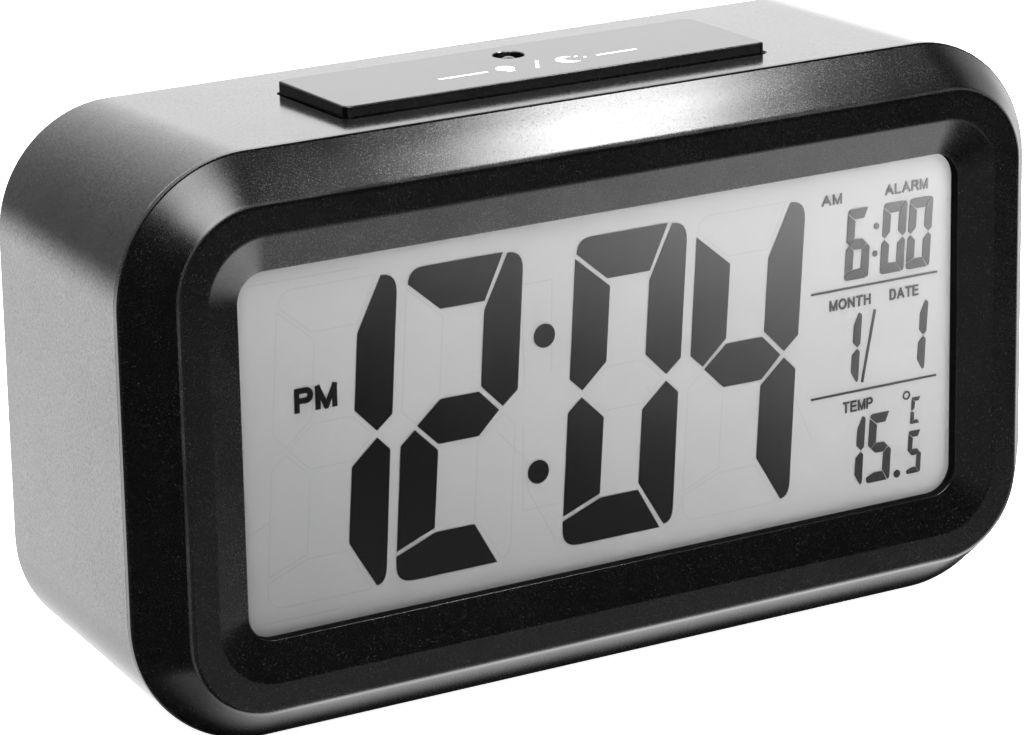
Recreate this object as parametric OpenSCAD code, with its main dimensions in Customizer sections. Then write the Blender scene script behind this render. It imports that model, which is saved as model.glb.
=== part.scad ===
// Desk alarm clock with a large segment display.
// X runs along the width, Y from front to back, and +Z is up.
// The origin is the middle of the footprint, on the surface the feet stand on.

/* [Case] */
// Width of the case
width = 135.4; // [130:0.2:140]
// Height of the case without its feet and snooze bar
height = 75.5; // [73:0.5:78]
// Depth from the front rim to the back
depth = 44; // [43.6:0.2:46]
// Thickness of the moulded walls
wall = 2; // [1.8:0.1:2.2]
// Corner radius of the case at the front joint
corner_r = 18; // [17:0.5:19]
// How far each side leans in by the back
side_draft = 1.6; // [1.4:0.1:2]
// How far the top drops by the back
top_draft = 0.4; // [0.2:0.1:0.7]
// How far the underside rises by the back
bottom_draft = 2.9; // [2.5:0.1:3.2]
// How far the rubber feet stand below the case
foot_h = 0.8; // [0.6:0.1:1.2]

/* [Face] */
// Depth of the front frame, from its rim back to the joint
joint_y = 7; // [6.6:0.1:7.4]
// Width of the outer chamfer
chamfer_w = 5.2; // [4.9:0.1:5.5]
// Width of the window
window_w = 107.4; // [107:0.1:107.8]
// Height of the window
window_h = 47.4; // [47:0.1:47.8]
// Width of the slope that runs in to the window
slope_w = 4.8; // [4.6:0.1:5]
// Depth of the window's edge behind the rim
slope_d = 1.8; // [1.6:0.1:2]
// Depth of the display glass behind the rim
glass_y = 3.2; // [3.1:0.05:3.3]

/* [Snooze bar] */
// Length of the bar
bar_len = 62.8; // [60:0.4:64]
// Front to back size of the bar
bar_dep = 18.2; // [17.6:0.1:18.6]
// Height of the bar above the case
bar_rise = 1.3; // [1.2:0.1:1.6]
// How far the bar goes down
bar_travel = 0.8; // [0.5:0.1:0.9]

/* [Rear controls] */
// Width of one push button
button_w = 9; // [8:0.5:10]
// Height of one push button
button_h = 5.4; // [5:0.2:6]
// Spacing of the push buttons
button_pitch = 15; // [14:0.5:15.5]
// How far a slide switch moves
slide_travel = 3; // [2:0.5:3]

/* [Batteries] */
// Diameter of one cell
cell_d = 10.3; // [10.1:0.1:10.4]
// Length of one cell with its nub
cell_len = 44.5; // [44:0.1:44.5]
// Spacing of the cells
cell_pitch = 11; // [10.8:0.1:11]

/* [Hidden] */
$fn = 48;

eps = 0.01;
gap = 0.3;            // between pieces that move past each other
snug = 0.05;          // radial clearance of a pin in its hole
corner_steps = 12;
mid_x = width / 2;
mid_z = height / 2;

// Face, from the joint in to the window: half widths, half heights and corner radii
groove = 0.25;
lip_step = 0.15;
lip_y = joint_y - 0.9;
ridge_x = mid_x - chamfer_w;
ridge_z = mid_z - chamfer_w;
ridge_r = corner_r - 6.8;
win_x = window_w / 2;
win_z = window_h / 2;
band_x = win_x + slope_w;
band_z = win_z + slope_w;
band_r = ridge_r - 3;
win_r = 3.8;
pocket_y = glass_y;
tongue_len = 1.6;
tongue_t = 1.3;

// Display stack behind the window, front to back
lens_t = 0.8;
glass_x = win_x + 1.6;
glass_z = win_z + 1.8;
glass_t = 1.1;
ledge = 3;            // strip of the front glass that carries the contacts
guide_y = glass_y + 2 * glass_t + 0.2;
guide_t = 3;
frame_t = 1.1;
board_y = 9.95;
board_t = 1.6;
board_x = 56;
board_z = 31;
led_xs = win_x - 0.8;

// Screw posts that hold the two halves of the case
post_x = mid_x - 7.5;
post_z = 22;
post_r = 3.4;
boss_r = 2.9;
boss_end = 14;
head_y = 20;
head_r = 2.7;
shank_r = 1.5;

// Display board screws
tap_x = 40;
tap_z = 29.3;
tap_r = 0.9;

// Rear wall, control panel and its board
back_edge_r = 1.2;
inner_back = depth - wall;
panel_x = 53;
panel_lo = 50;
panel_hi = 68.5;
panel_d = 1.2;
panel_floor = depth - panel_d;
panel_inner = panel_floor - wall;
control_z = 60;
slider_x = 45;
cap_out = panel_floor + 1;
flange_y = panel_inner - 0.2;
flange_t = 1;
button_travel = 0.5;
sboard_y = 32.4;
sboard_t = 1.6;
sboard_lo = 51;
sboard_hi = 67.5;
base_y = sboard_y + sboard_t;
base_t = 3.4;
plunger_r = 1.6;
plunger_y = base_y + base_t + button_travel + 0.5;
sscrew_x = 37.5;
sscrew_z = 64;

// Battery compartment
cell_r = cell_d / 2;
bat_x = (cell_len + 5.5) / 2;
plate_t = 0.4;
bat_z = 26;
bat_half = cell_pitch * 1.5 + 0.5;
bat_floor = 31;
bat_wall = 1.4;
cell_y = bat_floor + cell_r + 0.15;
door_t = 2;
door_x = 27.6;
door_lo = bat_z - bat_half - 1.8;
door_hi = bat_z + bat_half + 1.8;
hinge_r = door_t / 2;
hinge_y = depth - hinge_r;
hinge_z = door_lo + hinge_r;
pin_r = 0.7;
pin_len = 1.4;
latch_x = 5;
latch_h = 1.6;

// Buzzer and temperature vent
buzzer_x = -42.5;
buzzer_z = 27;
buzzer_r = 10;
vent_x = 43;
vent_z = 27;

// Snooze bar, its board and springs
bar_y = 23;
bar_r = 1;
bar_edge = 0.25;
bar_top = height + bar_rise;
bar_flange_top = height - 3.15;
bar_flange_t = 1.3;
bar_wall = 1.6;
bar_roof = bar_top - bar_wall;
nboard_top = height - 12.4;
nboard_t = 1.6;
nboard_x = 40;
nboard_front = 16.4;
nboard_back = 30.4;
npost_x = 37;
snooze_y = 20;
snooze_base_h = 3.5;
nplunger_top = nboard_top + snooze_base_h + bar_travel + 0.2;
lens_y = 27;
lens_r = 1.7;
spring_x = 22;
spring_r = 2.4;
spring_wire = 0.25;

// Feet
foot_x = 44;
foot_front = 13;
foot_back = 37;
foot_r = 4;
foot_sink = 0.6;

// Puts a piece drawn with y behind the rim and z above the case's lowest edge into the row's frame.
module placed() translate([0, -depth / 2, foot_h]) children();

// Outline of a rectangle with round corners, from its half width, bottom, top and radius.
function round_rect(half_w, low, high, r) = [
    for (c = [[1, 1, 0], [-1, 1, 90], [-1, -1, 180], [1, -1, 270]], i = [0:corner_steps])
        let (a = c[2] + 90 * i / corner_steps)
        [c[0] * (half_w - r) + r * cos(a), (c[1] > 0 ? high - r : low + r) + r * sin(a)]
];

// Closed solid through rings of points, each ring with the same count and sense.
module rings(points, count) {
    last = len(points) / count - 1;
    sides = [for (k = [0:last - 1], i = [0:count - 1], t = [0, 1])
        let (j = (i + 1) % count, a = k * count + i, b = k * count + j, c = a + count, d = b + count)
        t == 0 ? [a, b, d] : [a, d, c]];
    front = [for (i = [count - 1:-1:0]) i];
    back = [for (i = [0:count - 1]) last * count + i];
    polyhedron(points, concat([front, back], sides));
}

// Solid through upright outlines, each given as [y, half width, bottom, top, radius].
module loft(loops) {
    rings([for (l = loops, p = round_rect(l[1], l[2], l[3], l[4])) [p[0], l[0], p[1]]],
        4 * (corner_steps + 1));
}

// A loop centred on the face.
function face(y, x, z, r) = [y, x, mid_z - z, mid_z + z, r];

// Upright plate with round corners, from y0 to y1.
module slab(y0, y1, half_w, low, high, r, x = 0) {
    translate([x, y1, 0])
        rotate([90, 0, 0])
            linear_extrude(y1 - y0)
                polygon(round_rect(half_w, low, high, r));
}

// Plate with round corners lying flat, from z0 to z1.
module tile(z0, z1, x, y, half_w, half_d, r) {
    translate([x, y, z0])
        linear_extrude(z1 - z0)
            polygon(round_rect(half_w, -half_d, half_d, r));
}

// Rod along Y, from y0 to y1.
module rod(x, z, y0, y1, r) {
    translate([x, y1, z])
        rotate([90, 0, 0])
            cylinder(h = y1 - y0, r = r);
}

// Block between two opposite corners.
module block(low, high) translate(low) cube(high - low);

// Cross-head screw along -Z, with the top of its head at z = 0.
module screw(head_radius, head_h, shaft_radius, length) {
    color("silver")
        difference() {
            union() {
                translate([0, 0, -head_h]) cylinder(h = head_h, r = head_radius);
                translate([0, 0, -length]) cylinder(h = length - head_h / 2, r = shaft_radius);
            }
            for (turn = [0, 90])
                rotate([0, 0, turn])
                    translate([-head_radius * 0.6, -0.3, -head_h * 0.6])
                        cube([head_radius * 1.2, 0.6, head_h]);
        }
}

// Coil spring along +Z, its ends at z = 0 and z = length.
module coil(radius, wire_r, length, turns) {
    steps = 14;
    sides = 6;
    count = turns * steps;
    rings([for (i = [0:count], k = [0:sides - 1])
        let (a = 360 * i / steps, b = 360 * k / sides, r = radius + wire_r * cos(b))
        [r * cos(a), r * sin(a), wire_r + (length - 2 * wire_r) * i / count + wire_r * sin(b)]], sides);
}

// ---- Front frame and display ----

module front_bezel() {
    color("#202124") placed() {
        difference() {
            union() {
                loft([
                    face(0, ridge_x - 0.5, ridge_z - 0.5, ridge_r - 0.5),
                    face(0.15, ridge_x, ridge_z, ridge_r),
                    face(joint_y * 0.5, ridge_x + chamfer_w * 0.56, ridge_z + chamfer_w * 0.56,
                        ridge_r + (corner_r - ridge_r) * 0.56),
                    face(lip_y, mid_x - 0.3, mid_z - 0.3, corner_r - 0.3),
                    face(lip_y + 0.2, mid_x, mid_z, corner_r),
                    face(joint_y, mid_x, mid_z, corner_r)]);
                loft([
                    face(joint_y - 1, mid_x - wall - gap - 0.35, mid_z - wall - gap - 0.35,
                        corner_r - wall - gap),
                    face(joint_y + tongue_len, mid_x - wall - gap - 0.35, mid_z - wall - gap - 0.35,
                        corner_r - wall - gap)]);
            }
            loft([
                face(-0.2, band_x + 0.8, band_z + 0.8, band_r + 0.6),
                face(slope_d, win_x, win_z, win_r)]);
            slab(slope_d - 0.1, pocket_y + 1, win_x, mid_z - win_z, mid_z + win_z, win_r);
            loft([
                face(pocket_y, ridge_x - 1.8, ridge_z - 1.6, ridge_r - 2),
                face(joint_y, mid_x - wall - gap - 0.35 - tongue_t, mid_z - wall - gap - 0.35 - tongue_t,
                    corner_r - 4.5),
                face(joint_y + tongue_len + 1, mid_x - wall - gap - 0.35 - tongue_t,
                    mid_z - wall - gap - 0.35 - tongue_t, corner_r - 4.5)]);
        }
        for (sx = [-1, 1], sz = [-1, 1]) {
            difference() {
                rod(sx * post_x, mid_z + sz * post_z, pocket_y - 0.6, boss_end - 0.1, boss_r);
                rod(sx * post_x, mid_z + sz * post_z, pocket_y + 0.8, boss_end + 1, shank_r);
            }
            difference() {
                rod(sx * tap_x, mid_z + sz * tap_z, pocket_y - 0.6, board_y - snug, 2.1);
                rod(sx * tap_x, mid_z + sz * tap_z, pocket_y + 0.8, board_y + 1, tap_r);
            }
        }
    }
}

module lens_window() {
    color("white", 0.3) placed()
        slab(glass_y - snug - lens_t, glass_y - snug, win_x - snug, mid_z - win_z + snug,
            mid_z + win_z - snug, win_r - snug);
}

module lcd_front_glass() {
    color("lightgrey") placed()
        block([-glass_x, glass_y, mid_z - glass_z], [glass_x, glass_y + glass_t, mid_z + glass_z]);
}

module lcd_rear_glass() {
    y = glass_y + glass_t;
    color("darkgrey") placed()
        block([-glass_x, y, mid_z - glass_z + ledge], [glass_x, y + glass_t, mid_z + glass_z]);
}

module light_guide() {
    color("white") placed()
        difference() {
            block([-glass_x, guide_y, mid_z - glass_z + ledge],
                [glass_x, guide_y + guide_t, mid_z + glass_z]);
            for (z = [-14, 0, 14])
                block([led_xs - gap, guide_y - 1, mid_z + z - 2],
                    [glass_x + 1, guide_y + guide_t + 1, mid_z + z + 2]);
        }
}

module reflector() {
    y = guide_y + guide_t + 0.1;
    color("silver") placed()
        block([-glass_x, y, mid_z - glass_z + ledge], [glass_x, y + 0.2, mid_z + glass_z]);
}

module lcd_frame() {
    color("gainsboro") placed()
        difference() {
            slab(glass_y + 0.05, board_y - snug, glass_x + frame_t, mid_z - glass_z - frame_t,
                mid_z + glass_z + frame_t, 0.8);
            block([-glass_x - snug, 0, mid_z - glass_z - snug],
                [glass_x + snug, board_y + 1, mid_z + glass_z + snug]);
        }
}

module zebra_strip() {
    color("hotpink") placed()
        block([-45, glass_y + glass_t, mid_z - glass_z + 0.2], [45, board_y, mid_z - glass_z + 2.2]);
}

module backlight_leds() {
    color("ivory") placed()
        for (z = [-14, 0, 14])
            block([led_xs, guide_y + 0.2, mid_z + z - 1.5], [led_xs + 1.8, guide_y + 2.8, mid_z + z + 1.5]);
}

module main_board() {
    color("darkgreen") placed()
        difference() {
            slab(board_y, board_y + board_t, board_x, mid_z - board_z, mid_z + board_z, 2);
            for (sx = [-1, 1], sz = [-1, 1])
                rod(sx * tap_x, mid_z + sz * tap_z, board_y - 1, board_y + board_t + 1, 1.2);
        }
}

// Epoxy blob over the bonded chip.
module clock_chip() {
    color("black") placed()
        translate([-20, board_y + board_t, mid_z + 3])
            rotate([-90, 0, 0]) {
                cylinder(h = 1, r1 = 8, r2 = 7);
                translate([0, 0, 1]) cylinder(h = 0.8, r1 = 7, r2 = 4.5);
                translate([0, 0, 1.8]) cylinder(h = 0.4, r1 = 4.5, r2 = 1.5);
            }
}

module crystal() {
    color("silver") placed()
        translate([6, board_y + board_t + 1.1, mid_z + 14])
            rotate([0, 90, 0])
                cylinder(h = 6, r = 1);
}

module chip_parts() {
    color("tan") placed()
        for (i = [0:5], side = [0, 1])
            translate([10 + 5 * i, board_y + board_t, mid_z - 4 - 7 * side])
                cube([2, 0.8, 1.2]);
}

module main_board_screws() {
    placed()
        for (sx = [-1, 1], sz = [-1, 1])
            translate([sx * tap_x, board_y + board_t + 1.2, mid_z + sz * tap_z])
                rotate([-90, 0, 0])
                    screw(1.9, 1.2, tap_r - 0.04, 7.4);
}

// ---- Rear housing ----

// Outer or inner skin of the housing: inset 0 gives the outside.
function housing_loop(y, inset, lean) = [y, mid_x - lip_step - inset - side_draft * lean,
    lip_step + inset + bottom_draft * lean, height - lip_step - inset - top_draft * lean,
    corner_r - lip_step - inset - 1.9 * lean];

module housing_skin() {
    e = back_edge_r;
    loft([
        housing_loop(joint_y + groove, 0, 0),
        housing_loop(depth - e, 0, 1),
        housing_loop(depth - e * 0.5, e * 0.134, 1),
        housing_loop(depth - e * 0.134, e * 0.5, 1),
        housing_loop(depth, e, 1)]);
}

module battery_box(grow, front, back) {
    block([-bat_x - grow, front, bat_z - bat_half - grow], [bat_x + grow, back, bat_z + bat_half + grow]);
}

module rear_housing() {
    color("#26272a") placed()
        difference() {
            union() {
                difference() {
                    housing_skin();
                    loft([
                        housing_loop(joint_y - 1, wall, 0),
                        housing_loop(joint_y + groove, wall, 0),
                        housing_loop(inner_back, wall, 1)]);
                }
                // panel behind the recessed controls, and the battery box
                slab(panel_inner, depth - 0.5, panel_x + wall, panel_lo - wall, panel_hi + 1.5, 4);
                battery_box(bat_wall, bat_floor - bat_wall, depth - 0.5);
                slab(depth - door_t - bat_wall, depth - 0.5, door_x + 2.4, door_lo - 1.2, door_hi + 3, 1);
                // screw posts
                for (sx = [-1, 1], sz = [-1, 1])
                    rod(sx * post_x, mid_z + sz * post_z, boss_end, depth - 0.5, post_r);
                for (sx = [-1, 1])
                    rod(sx * sscrew_x, sscrew_z, base_y, panel_inner + 1, 1.9);
                for (sx = [-1, 1])
                    translate([sx * npost_x, bar_y + 0.5, nboard_top])
                        cylinder(h = height - 1.2 - nboard_top, r = 2.3);
                // seat for the buzzer disc
                rod(buzzer_x, buzzer_z, inner_back - 2, inner_back + 1, buzzer_r + 1.3);
                // pads under the feet
                for (sx = [-1, 1], y = [foot_front, foot_back])
                    translate([sx * foot_x, y, 0])
                        cylinder(h = 5.5, r = foot_r + 1.2);
            }
            // opening for the snooze bar
            tile(height - 9, height + 5, 0, bar_y, bar_len / 2 + gap, bar_dep / 2 + gap, bar_r + gap);
            for (sx = [-1, 1])
                translate([sx * npost_x, bar_y + 0.5, nboard_top - 1])
                    cylinder(h = 7.5, r = tap_r);
            // control panel
            slab(panel_floor, depth + 1, panel_x, panel_lo, panel_hi, 3);
            for (i = [-2:2])
                slab(panel_inner - 1, depth, button_w / 2 + gap, control_z - button_h / 2 - gap,
                    control_z + button_h / 2 + gap, button_h / 2 + gap - eps, i * button_pitch);
            for (sx = [-1, 1]) {
                block([sx * slider_x - 4.5, panel_inner - 1, control_z - 1.6],
                    [sx * slider_x + 4.5, depth, control_z + 1.6]);
                rod(sx * sscrew_x, sscrew_z, base_y - 1, panel_inner, tap_r);
            }
            // battery compartment, door recess, hinge holes and thumb notch
            battery_box(0, bat_floor, depth + 1);
            slab(depth - door_t - 0.1, depth + 1, door_x + gap, door_lo - gap, door_hi + gap, 0.8);
            block([-latch_x - gap, depth - door_t - 0.1, door_hi],
                [latch_x + gap, depth + 1, door_hi + latch_h + gap]);
            translate([-door_x - pin_len - 0.2, hinge_y, hinge_z])
                rotate([0, 90, 0])
                    cylinder(h = 2 * (door_x + pin_len + 0.2), r = pin_r + snug);
            // screw holes
            for (sx = [-1, 1], sz = [-1, 1]) {
                rod(sx * post_x, mid_z + sz * post_z, head_y, depth + 1, head_r + 0.25);
                rod(sx * post_x, mid_z + sz * post_z, boss_end - 1, head_y + 1, shank_r + 0.3);
            }
            // sound holes, and the buzzer's seat
            rod(buzzer_x, buzzer_z, inner_back - 3, inner_back - 0.8, buzzer_r + 0.1);
            rod(buzzer_x, buzzer_z, inner_back - 1, inner_back + 0.4, buzzer_r - 1.4);
            rod(buzzer_x, buzzer_z, inner_back - 1, depth + 1, 0.9);
            for (i = [0:7])
                rod(buzzer_x + 4 * cos(45 * i), buzzer_z + 4 * sin(45 * i), inner_back - 1, depth + 1, 0.9);
            // temperature vents
            for (i = [-2:2])
                slab(inner_back - 1, depth + 1, 6, vent_z + 3.2 * i - 0.7, vent_z + 3.2 * i + 0.7,
                    0.65, vent_x);
            // seats for the feet
            for (sx = [-1, 1], y = [foot_front, foot_back])
                translate([sx * foot_x, y, -1])
                    cylinder(h = 1 + foot_sink, r = foot_r + 0.1);
        }
}

module rubber_feet() {
    color("#303030") placed()
        for (sx = [-1, 1], y = [foot_front, foot_back])
            translate([sx * foot_x, y, -foot_h]) {
                cylinder(h = 0.4, r1 = foot_r - 0.4, r2 = foot_r);
                translate([0, 0, 0.4]) cylinder(h = foot_h + foot_sink - 0.4, r = foot_r);
            }
}

module case_screws() {
    placed()
        for (sx = [-1, 1], sz = [-1, 1])
            translate([sx * post_x, head_y + 2, mid_z + sz * post_z])
                rotate([-90, 0, 0])
                    screw(head_r, 2, shank_r - 0.04, head_y + 2 - pocket_y - 1.6);
}

// ---- Rear controls ----

module button_board() {
    color("darkgreen") placed()
        difference() {
            slab(sboard_y, sboard_y + sboard_t, panel_x - 1, sboard_lo, sboard_hi, 1.5);
            for (sx = [-1, 1])
                rod(sx * sscrew_x, sscrew_z, sboard_y - 1, sboard_y + sboard_t + 1, 1.2);
        }
}

module button_board_screws() {
    placed()
        for (sx = [-1, 1])
            translate([sx * sscrew_x, sboard_y - 1.2, sscrew_z])
                rotate([90, 0, 0])
                    screw(1.9, 1.2, tap_r - 0.04, 6.4);
}

module switch_bases() {
    color("dimgray") placed()
        for (i = [-2:2])
            difference() {
                block([i * button_pitch - 3, base_y, control_z - 3],
                    [i * button_pitch + 3, base_y + base_t, control_z + 3]);
                rod(i * button_pitch, control_z, base_y + 1.6, base_y + base_t + 1, plunger_r + snug);
            }
}

module slide_switch_bases() {
    color("silver") placed()
        for (sx = [-1, 1])
            difference() {
                block([sx * slider_x - 5.5, base_y, control_z - 2.5],
                    [sx * slider_x + 5.5, base_y + base_t, control_z + 2.5]);
                block([sx * slider_x - 3.2, base_y + 1.4, control_z - 1.3],
                    [sx * slider_x + 3.2, base_y + base_t + 1, control_z + 1.3]);
            }
}

// Push button at place i of the row, counted from the middle.
module push_button(i, tint) {
    x = i * button_pitch;
    color(tint) placed() {
        slab(flange_y - flange_t + eps, cap_out - 0.4, button_w / 2, control_z - button_h / 2,
            control_z + button_h / 2, button_h / 2 - eps, x);
        slab(cap_out - 0.5, cap_out, button_w / 2 - 0.35, control_z - button_h / 2 + 0.35,
            control_z + button_h / 2 - 0.35, button_h / 2 - 0.4, x);
        slab(flange_y - flange_t, flange_y, button_w / 2 + 1.2, control_z - button_h / 2 - 1.2,
            control_z + button_h / 2 + 1.2, 1.5, x);
        rod(x, control_z, plunger_y, flange_y - flange_t / 2, 1.5);
    }
}

module plunger(i) {
    color("white") placed()
        rod(i * button_pitch, control_z, base_y + 2.3, plunger_y, plunger_r);
}

module mode_button() push_button(-2, "#3a3b3f");
module set_button() push_button(-1, "#3a3b3f");
module up_button() push_button(0, "#3a3b3f");
module down_button() push_button(1, "#3a3b3f");
module alarm_button() push_button(2, "#3a3b3f");
module mode_plunger() plunger(-2);
module set_plunger() plunger(-1);
module up_plunger() plunger(0);
module down_plunger() plunger(1);
module alarm_plunger() plunger(2);

// Slide knob at the end of its travel nearest -X, with ridges for the finger.
module slide_knob(x) {
    start = x - slide_travel / 2;
    color("#55565a") placed()
        difference() {
            union() {
                block([start - 1.5, base_y + 1.6, control_z - 1.1],
                    [start + 1.5, cap_out - 0.2, control_z + 1.1]);
                block([start - 2.6, panel_floor - 0.9, control_z - 1.3],
                    [start + 2.6, cap_out - 0.2, control_z + 1.3]);
            }
            for (k = [-1.5:1:1.5])
                block([start + k - 0.25, cap_out - 0.6, control_z - 2],
                    [start + k + 0.25, cap_out + 1, control_z + 2]);
        }
}

module alarm_slider() slide_knob(slider_x);
module sensor_slider() slide_knob(-slider_x);

// ---- Sound, temperature and wiring ----

module buzzer_disc() {
    color("gold") placed() {
        rod(buzzer_x, buzzer_z, inner_back - 1.1, inner_back - 0.85, buzzer_r);
        rod(buzzer_x, buzzer_z, inner_back - 1.4, inner_back - 1.1, buzzer_r * 0.7);
    }
}

module thermistor() {
    color("saddlebrown") placed() {
        translate([vent_x, inner_back - 4, vent_z]) sphere(r = 1.3);
        for (sx = [-1, 1])
            rod(vent_x + sx * 0.6, vent_z, board_y + board_t, inner_back - 4, 0.25);
    }
}

module ribbon_cables() {
    low = board_y + board_t;
    color("lightsteelblue") placed() {
        translate([-8, 0, 0])
            rotate([90, 0, 90])
                linear_extrude(12)
                    polygon([[low, 47.4], [sboard_y - 2, 47.4], [sboard_y - 2, 55], [sboard_y, 55],
                        [sboard_y, 54.2], [sboard_y - 1.2, 54.2], [sboard_y - 1.2, 46.6], [low, 46.6]]);
        translate([-34, 0, 0])
            rotate([90, 0, 90])
                linear_extrude(8)
                    polygon([[low, 57.6], [18.4, 57.6], [18.4, nboard_top - nboard_t],
                        [19.2, nboard_top - nboard_t], [19.2, 56.8], [low, 56.8]]);
    }
}

// ---- Snooze bar ----

module snooze_board() {
    color("darkgreen") placed()
        difference() {
            tile(nboard_top - nboard_t, nboard_top, 0, (nboard_front + nboard_back) / 2, nboard_x,
                (nboard_back - nboard_front) / 2, 1.5);
            for (sx = [-1, 1])
                translate([sx * npost_x, bar_y + 0.5, nboard_top - nboard_t - 1])
                    cylinder(h = nboard_t + 2, r = 1.2);
        }
}

module snooze_board_screws() {
    placed()
        for (sx = [-1, 1])
            translate([sx * npost_x, bar_y + 0.5, nboard_top - nboard_t - 1.2])
                rotate([180, 0, 0])
                    screw(1.9, 1.2, tap_r - 0.04, 6.4);
}

module snooze_switch_base() {
    color("dimgray") placed()
        difference() {
            block([-3, snooze_y - 3, nboard_top], [3, snooze_y + 3, nboard_top + snooze_base_h]);
            translate([0, snooze_y, nboard_top + 1.2]) cylinder(h = 4, r = plunger_r + snug);
        }
}

module light_sensor() {
    color("lightcyan") placed()
        translate([0, lens_y, nboard_top]) {
            cylinder(h = 5, r = 1.5);
            translate([0, 0, 5]) sphere(r = 1.49);
            cylinder(h = 0.8, r = 1.9);
        }
}

module snooze_bar() {
    color("#222326") placed()
        difference() {
            union() {
                tile(bar_flange_top - bar_flange_t, bar_top - bar_edge, 0, bar_y, bar_len / 2,
                    bar_dep / 2, bar_r);
                tile(bar_top - 0.4, bar_top, 0, bar_y, bar_len / 2 - bar_edge,
                    bar_dep / 2 - bar_edge, bar_r - bar_edge);
                tile(bar_flange_top - bar_flange_t, bar_flange_top, 0, bar_y, bar_len / 2 + 1.6,
                    bar_dep / 2 + 1.1, 1.5);
            }
            difference() {
                tile(bar_flange_top - 3, bar_roof, 0, bar_y, bar_len / 2 - bar_wall,
                    bar_dep / 2 - bar_wall, 0.8);
                translate([0, snooze_y, 0]) cylinder(h = height + 5, r = 2);
                for (sx = [-1, 1])
                    translate([sx * spring_x, bar_y, 0]) cylinder(h = height + 5, r = 1.7);
            }
            translate([0, lens_y, height - 5]) cylinder(h = 12, r = lens_r + snug);
            translate([0, lens_y, bar_top - 0.5]) cylinder(h = 2, r = lens_r + 0.4);
        }
    color("#222326") placed()
        translate([0, snooze_y, nplunger_top])
            cylinder(h = bar_roof + 0.5 - nplunger_top, r = 1.8);
}

module sensor_lens() {
    dome = 2.4;
    color("white", 0.5) placed() {
        translate([0, lens_y, bar_roof - 0.7]) cylinder(h = 0.7, r = lens_r + 0.6);
        intersection() {
            translate([0, lens_y, bar_roof - 0.2]) cylinder(h = 4, r = lens_r);
            translate([0, lens_y, bar_top - 0.05 - dome]) sphere(r = dome);
        }
    }
}

module snooze_plunger() {
    color("white") placed()
        translate([0, snooze_y, nboard_top + 2.3])
            cylinder(h = nplunger_top - nboard_top - 2.3, r = plunger_r);
}

module snooze_springs() {
    color("silver") placed()
        for (sx = [-1, 1])
            translate([sx * spring_x, bar_y, nboard_top])
                coil(spring_r, spring_wire, bar_roof - nboard_top, 7);
}

// ---- Batteries ----

// Places a child at each cell, turned so that its nub points along +X.
module each_cell() {
    for (i = [-1:1])
        translate([0, cell_y, bat_z + cell_pitch * i])
            rotate([0, 0, i == 0 ? 180 : 0])
                children();
}

module battery_cells() {
    color("darkorange") placed()
        each_cell()
            translate([bat_x - plate_t, 0, 0])
                rotate([0, -90, 0]) {
                    cylinder(h = 1.2, r = 1.9);
                    translate([0, 0, 1.2]) cylinder(h = cell_len - 1.2, r = cell_r);
                }
}

module battery_springs() {
    color("silver") placed()
        each_cell()
            translate([-bat_x + plate_t, 0, 0])
                rotate([0, 90, 0])
                    coil(3, 0.3, 2 * bat_x - 2 * plate_t - cell_len, 4);
}

module battery_plates() {
    color("silver") placed()
        each_cell()
            for (sx = [-1, 1])
                block([sx * (bat_x - plate_t / 2) - plate_t / 2, -4.5, -4],
                    [sx * (bat_x - plate_t / 2) + plate_t / 2, 4, 4]);
}

module battery_door() {
    color("#2a2b2e") placed() {
        difference() {
            union() {
                block([-door_x, depth - door_t, hinge_z], [door_x, depth, door_hi]);
                translate([-door_x, hinge_y, hinge_z])
                    rotate([0, 90, 0])
                        cylinder(h = 2 * door_x, r = hinge_r);
                block([-latch_x, depth - door_t, door_hi - 1], [latch_x, depth - 0.6, door_hi + latch_h]);
            }
            // slots beside the latch, and ridges under the thumb
            for (sx = [-1, 1])
                block([sx * (latch_x + 0.4) - 0.4, depth - door_t - 1, door_hi - 5],
                    [sx * (latch_x + 0.4) + 0.4, depth + 1, door_hi + 1]);
            for (k = [0:3])
                block([-latch_x + 1, depth - 0.4, door_hi - 4.6 + 1.1 * k],
                    [latch_x - 1, depth + 1, door_hi - 4.1 + 1.1 * k]);
        }
        translate([-door_x - pin_len, hinge_y, hinge_z])
            rotate([0, 90, 0])
                cylinder(h = 2 * (door_x + pin_len), r = pin_r);
    }
}

front_bezel();
lens_window();
lcd_front_glass();
lcd_rear_glass();
light_guide();
reflector();
lcd_frame();
zebra_strip();
backlight_leds();
main_board();
clock_chip();
crystal();
chip_parts();
main_board_screws();
rear_housing();
rubber_feet();
case_screws();
button_board();
button_board_screws();
switch_bases();
slide_switch_bases();
buzzer_disc();
thermistor();
snooze_board();
snooze_board_screws();
snooze_switch_base();
light_sensor();
ribbon_cables();
battery_cells();
battery_springs();
battery_plates();
snooze_bar();
sensor_lens();
snooze_plunger();
snooze_springs();
mode_button();
set_button();
up_button();
down_button();
alarm_button();
mode_plunger();
set_plunger();
up_plunger();
down_plunger();
alarm_plunger();
alarm_slider();
sensor_slider();
battery_door();
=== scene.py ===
"""Desk alarm clock: the detailed visual model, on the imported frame. Sizes are in millimetres until place()."""
import math

import bmesh
import bpy
from mathutils import Matrix, Vector


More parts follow.
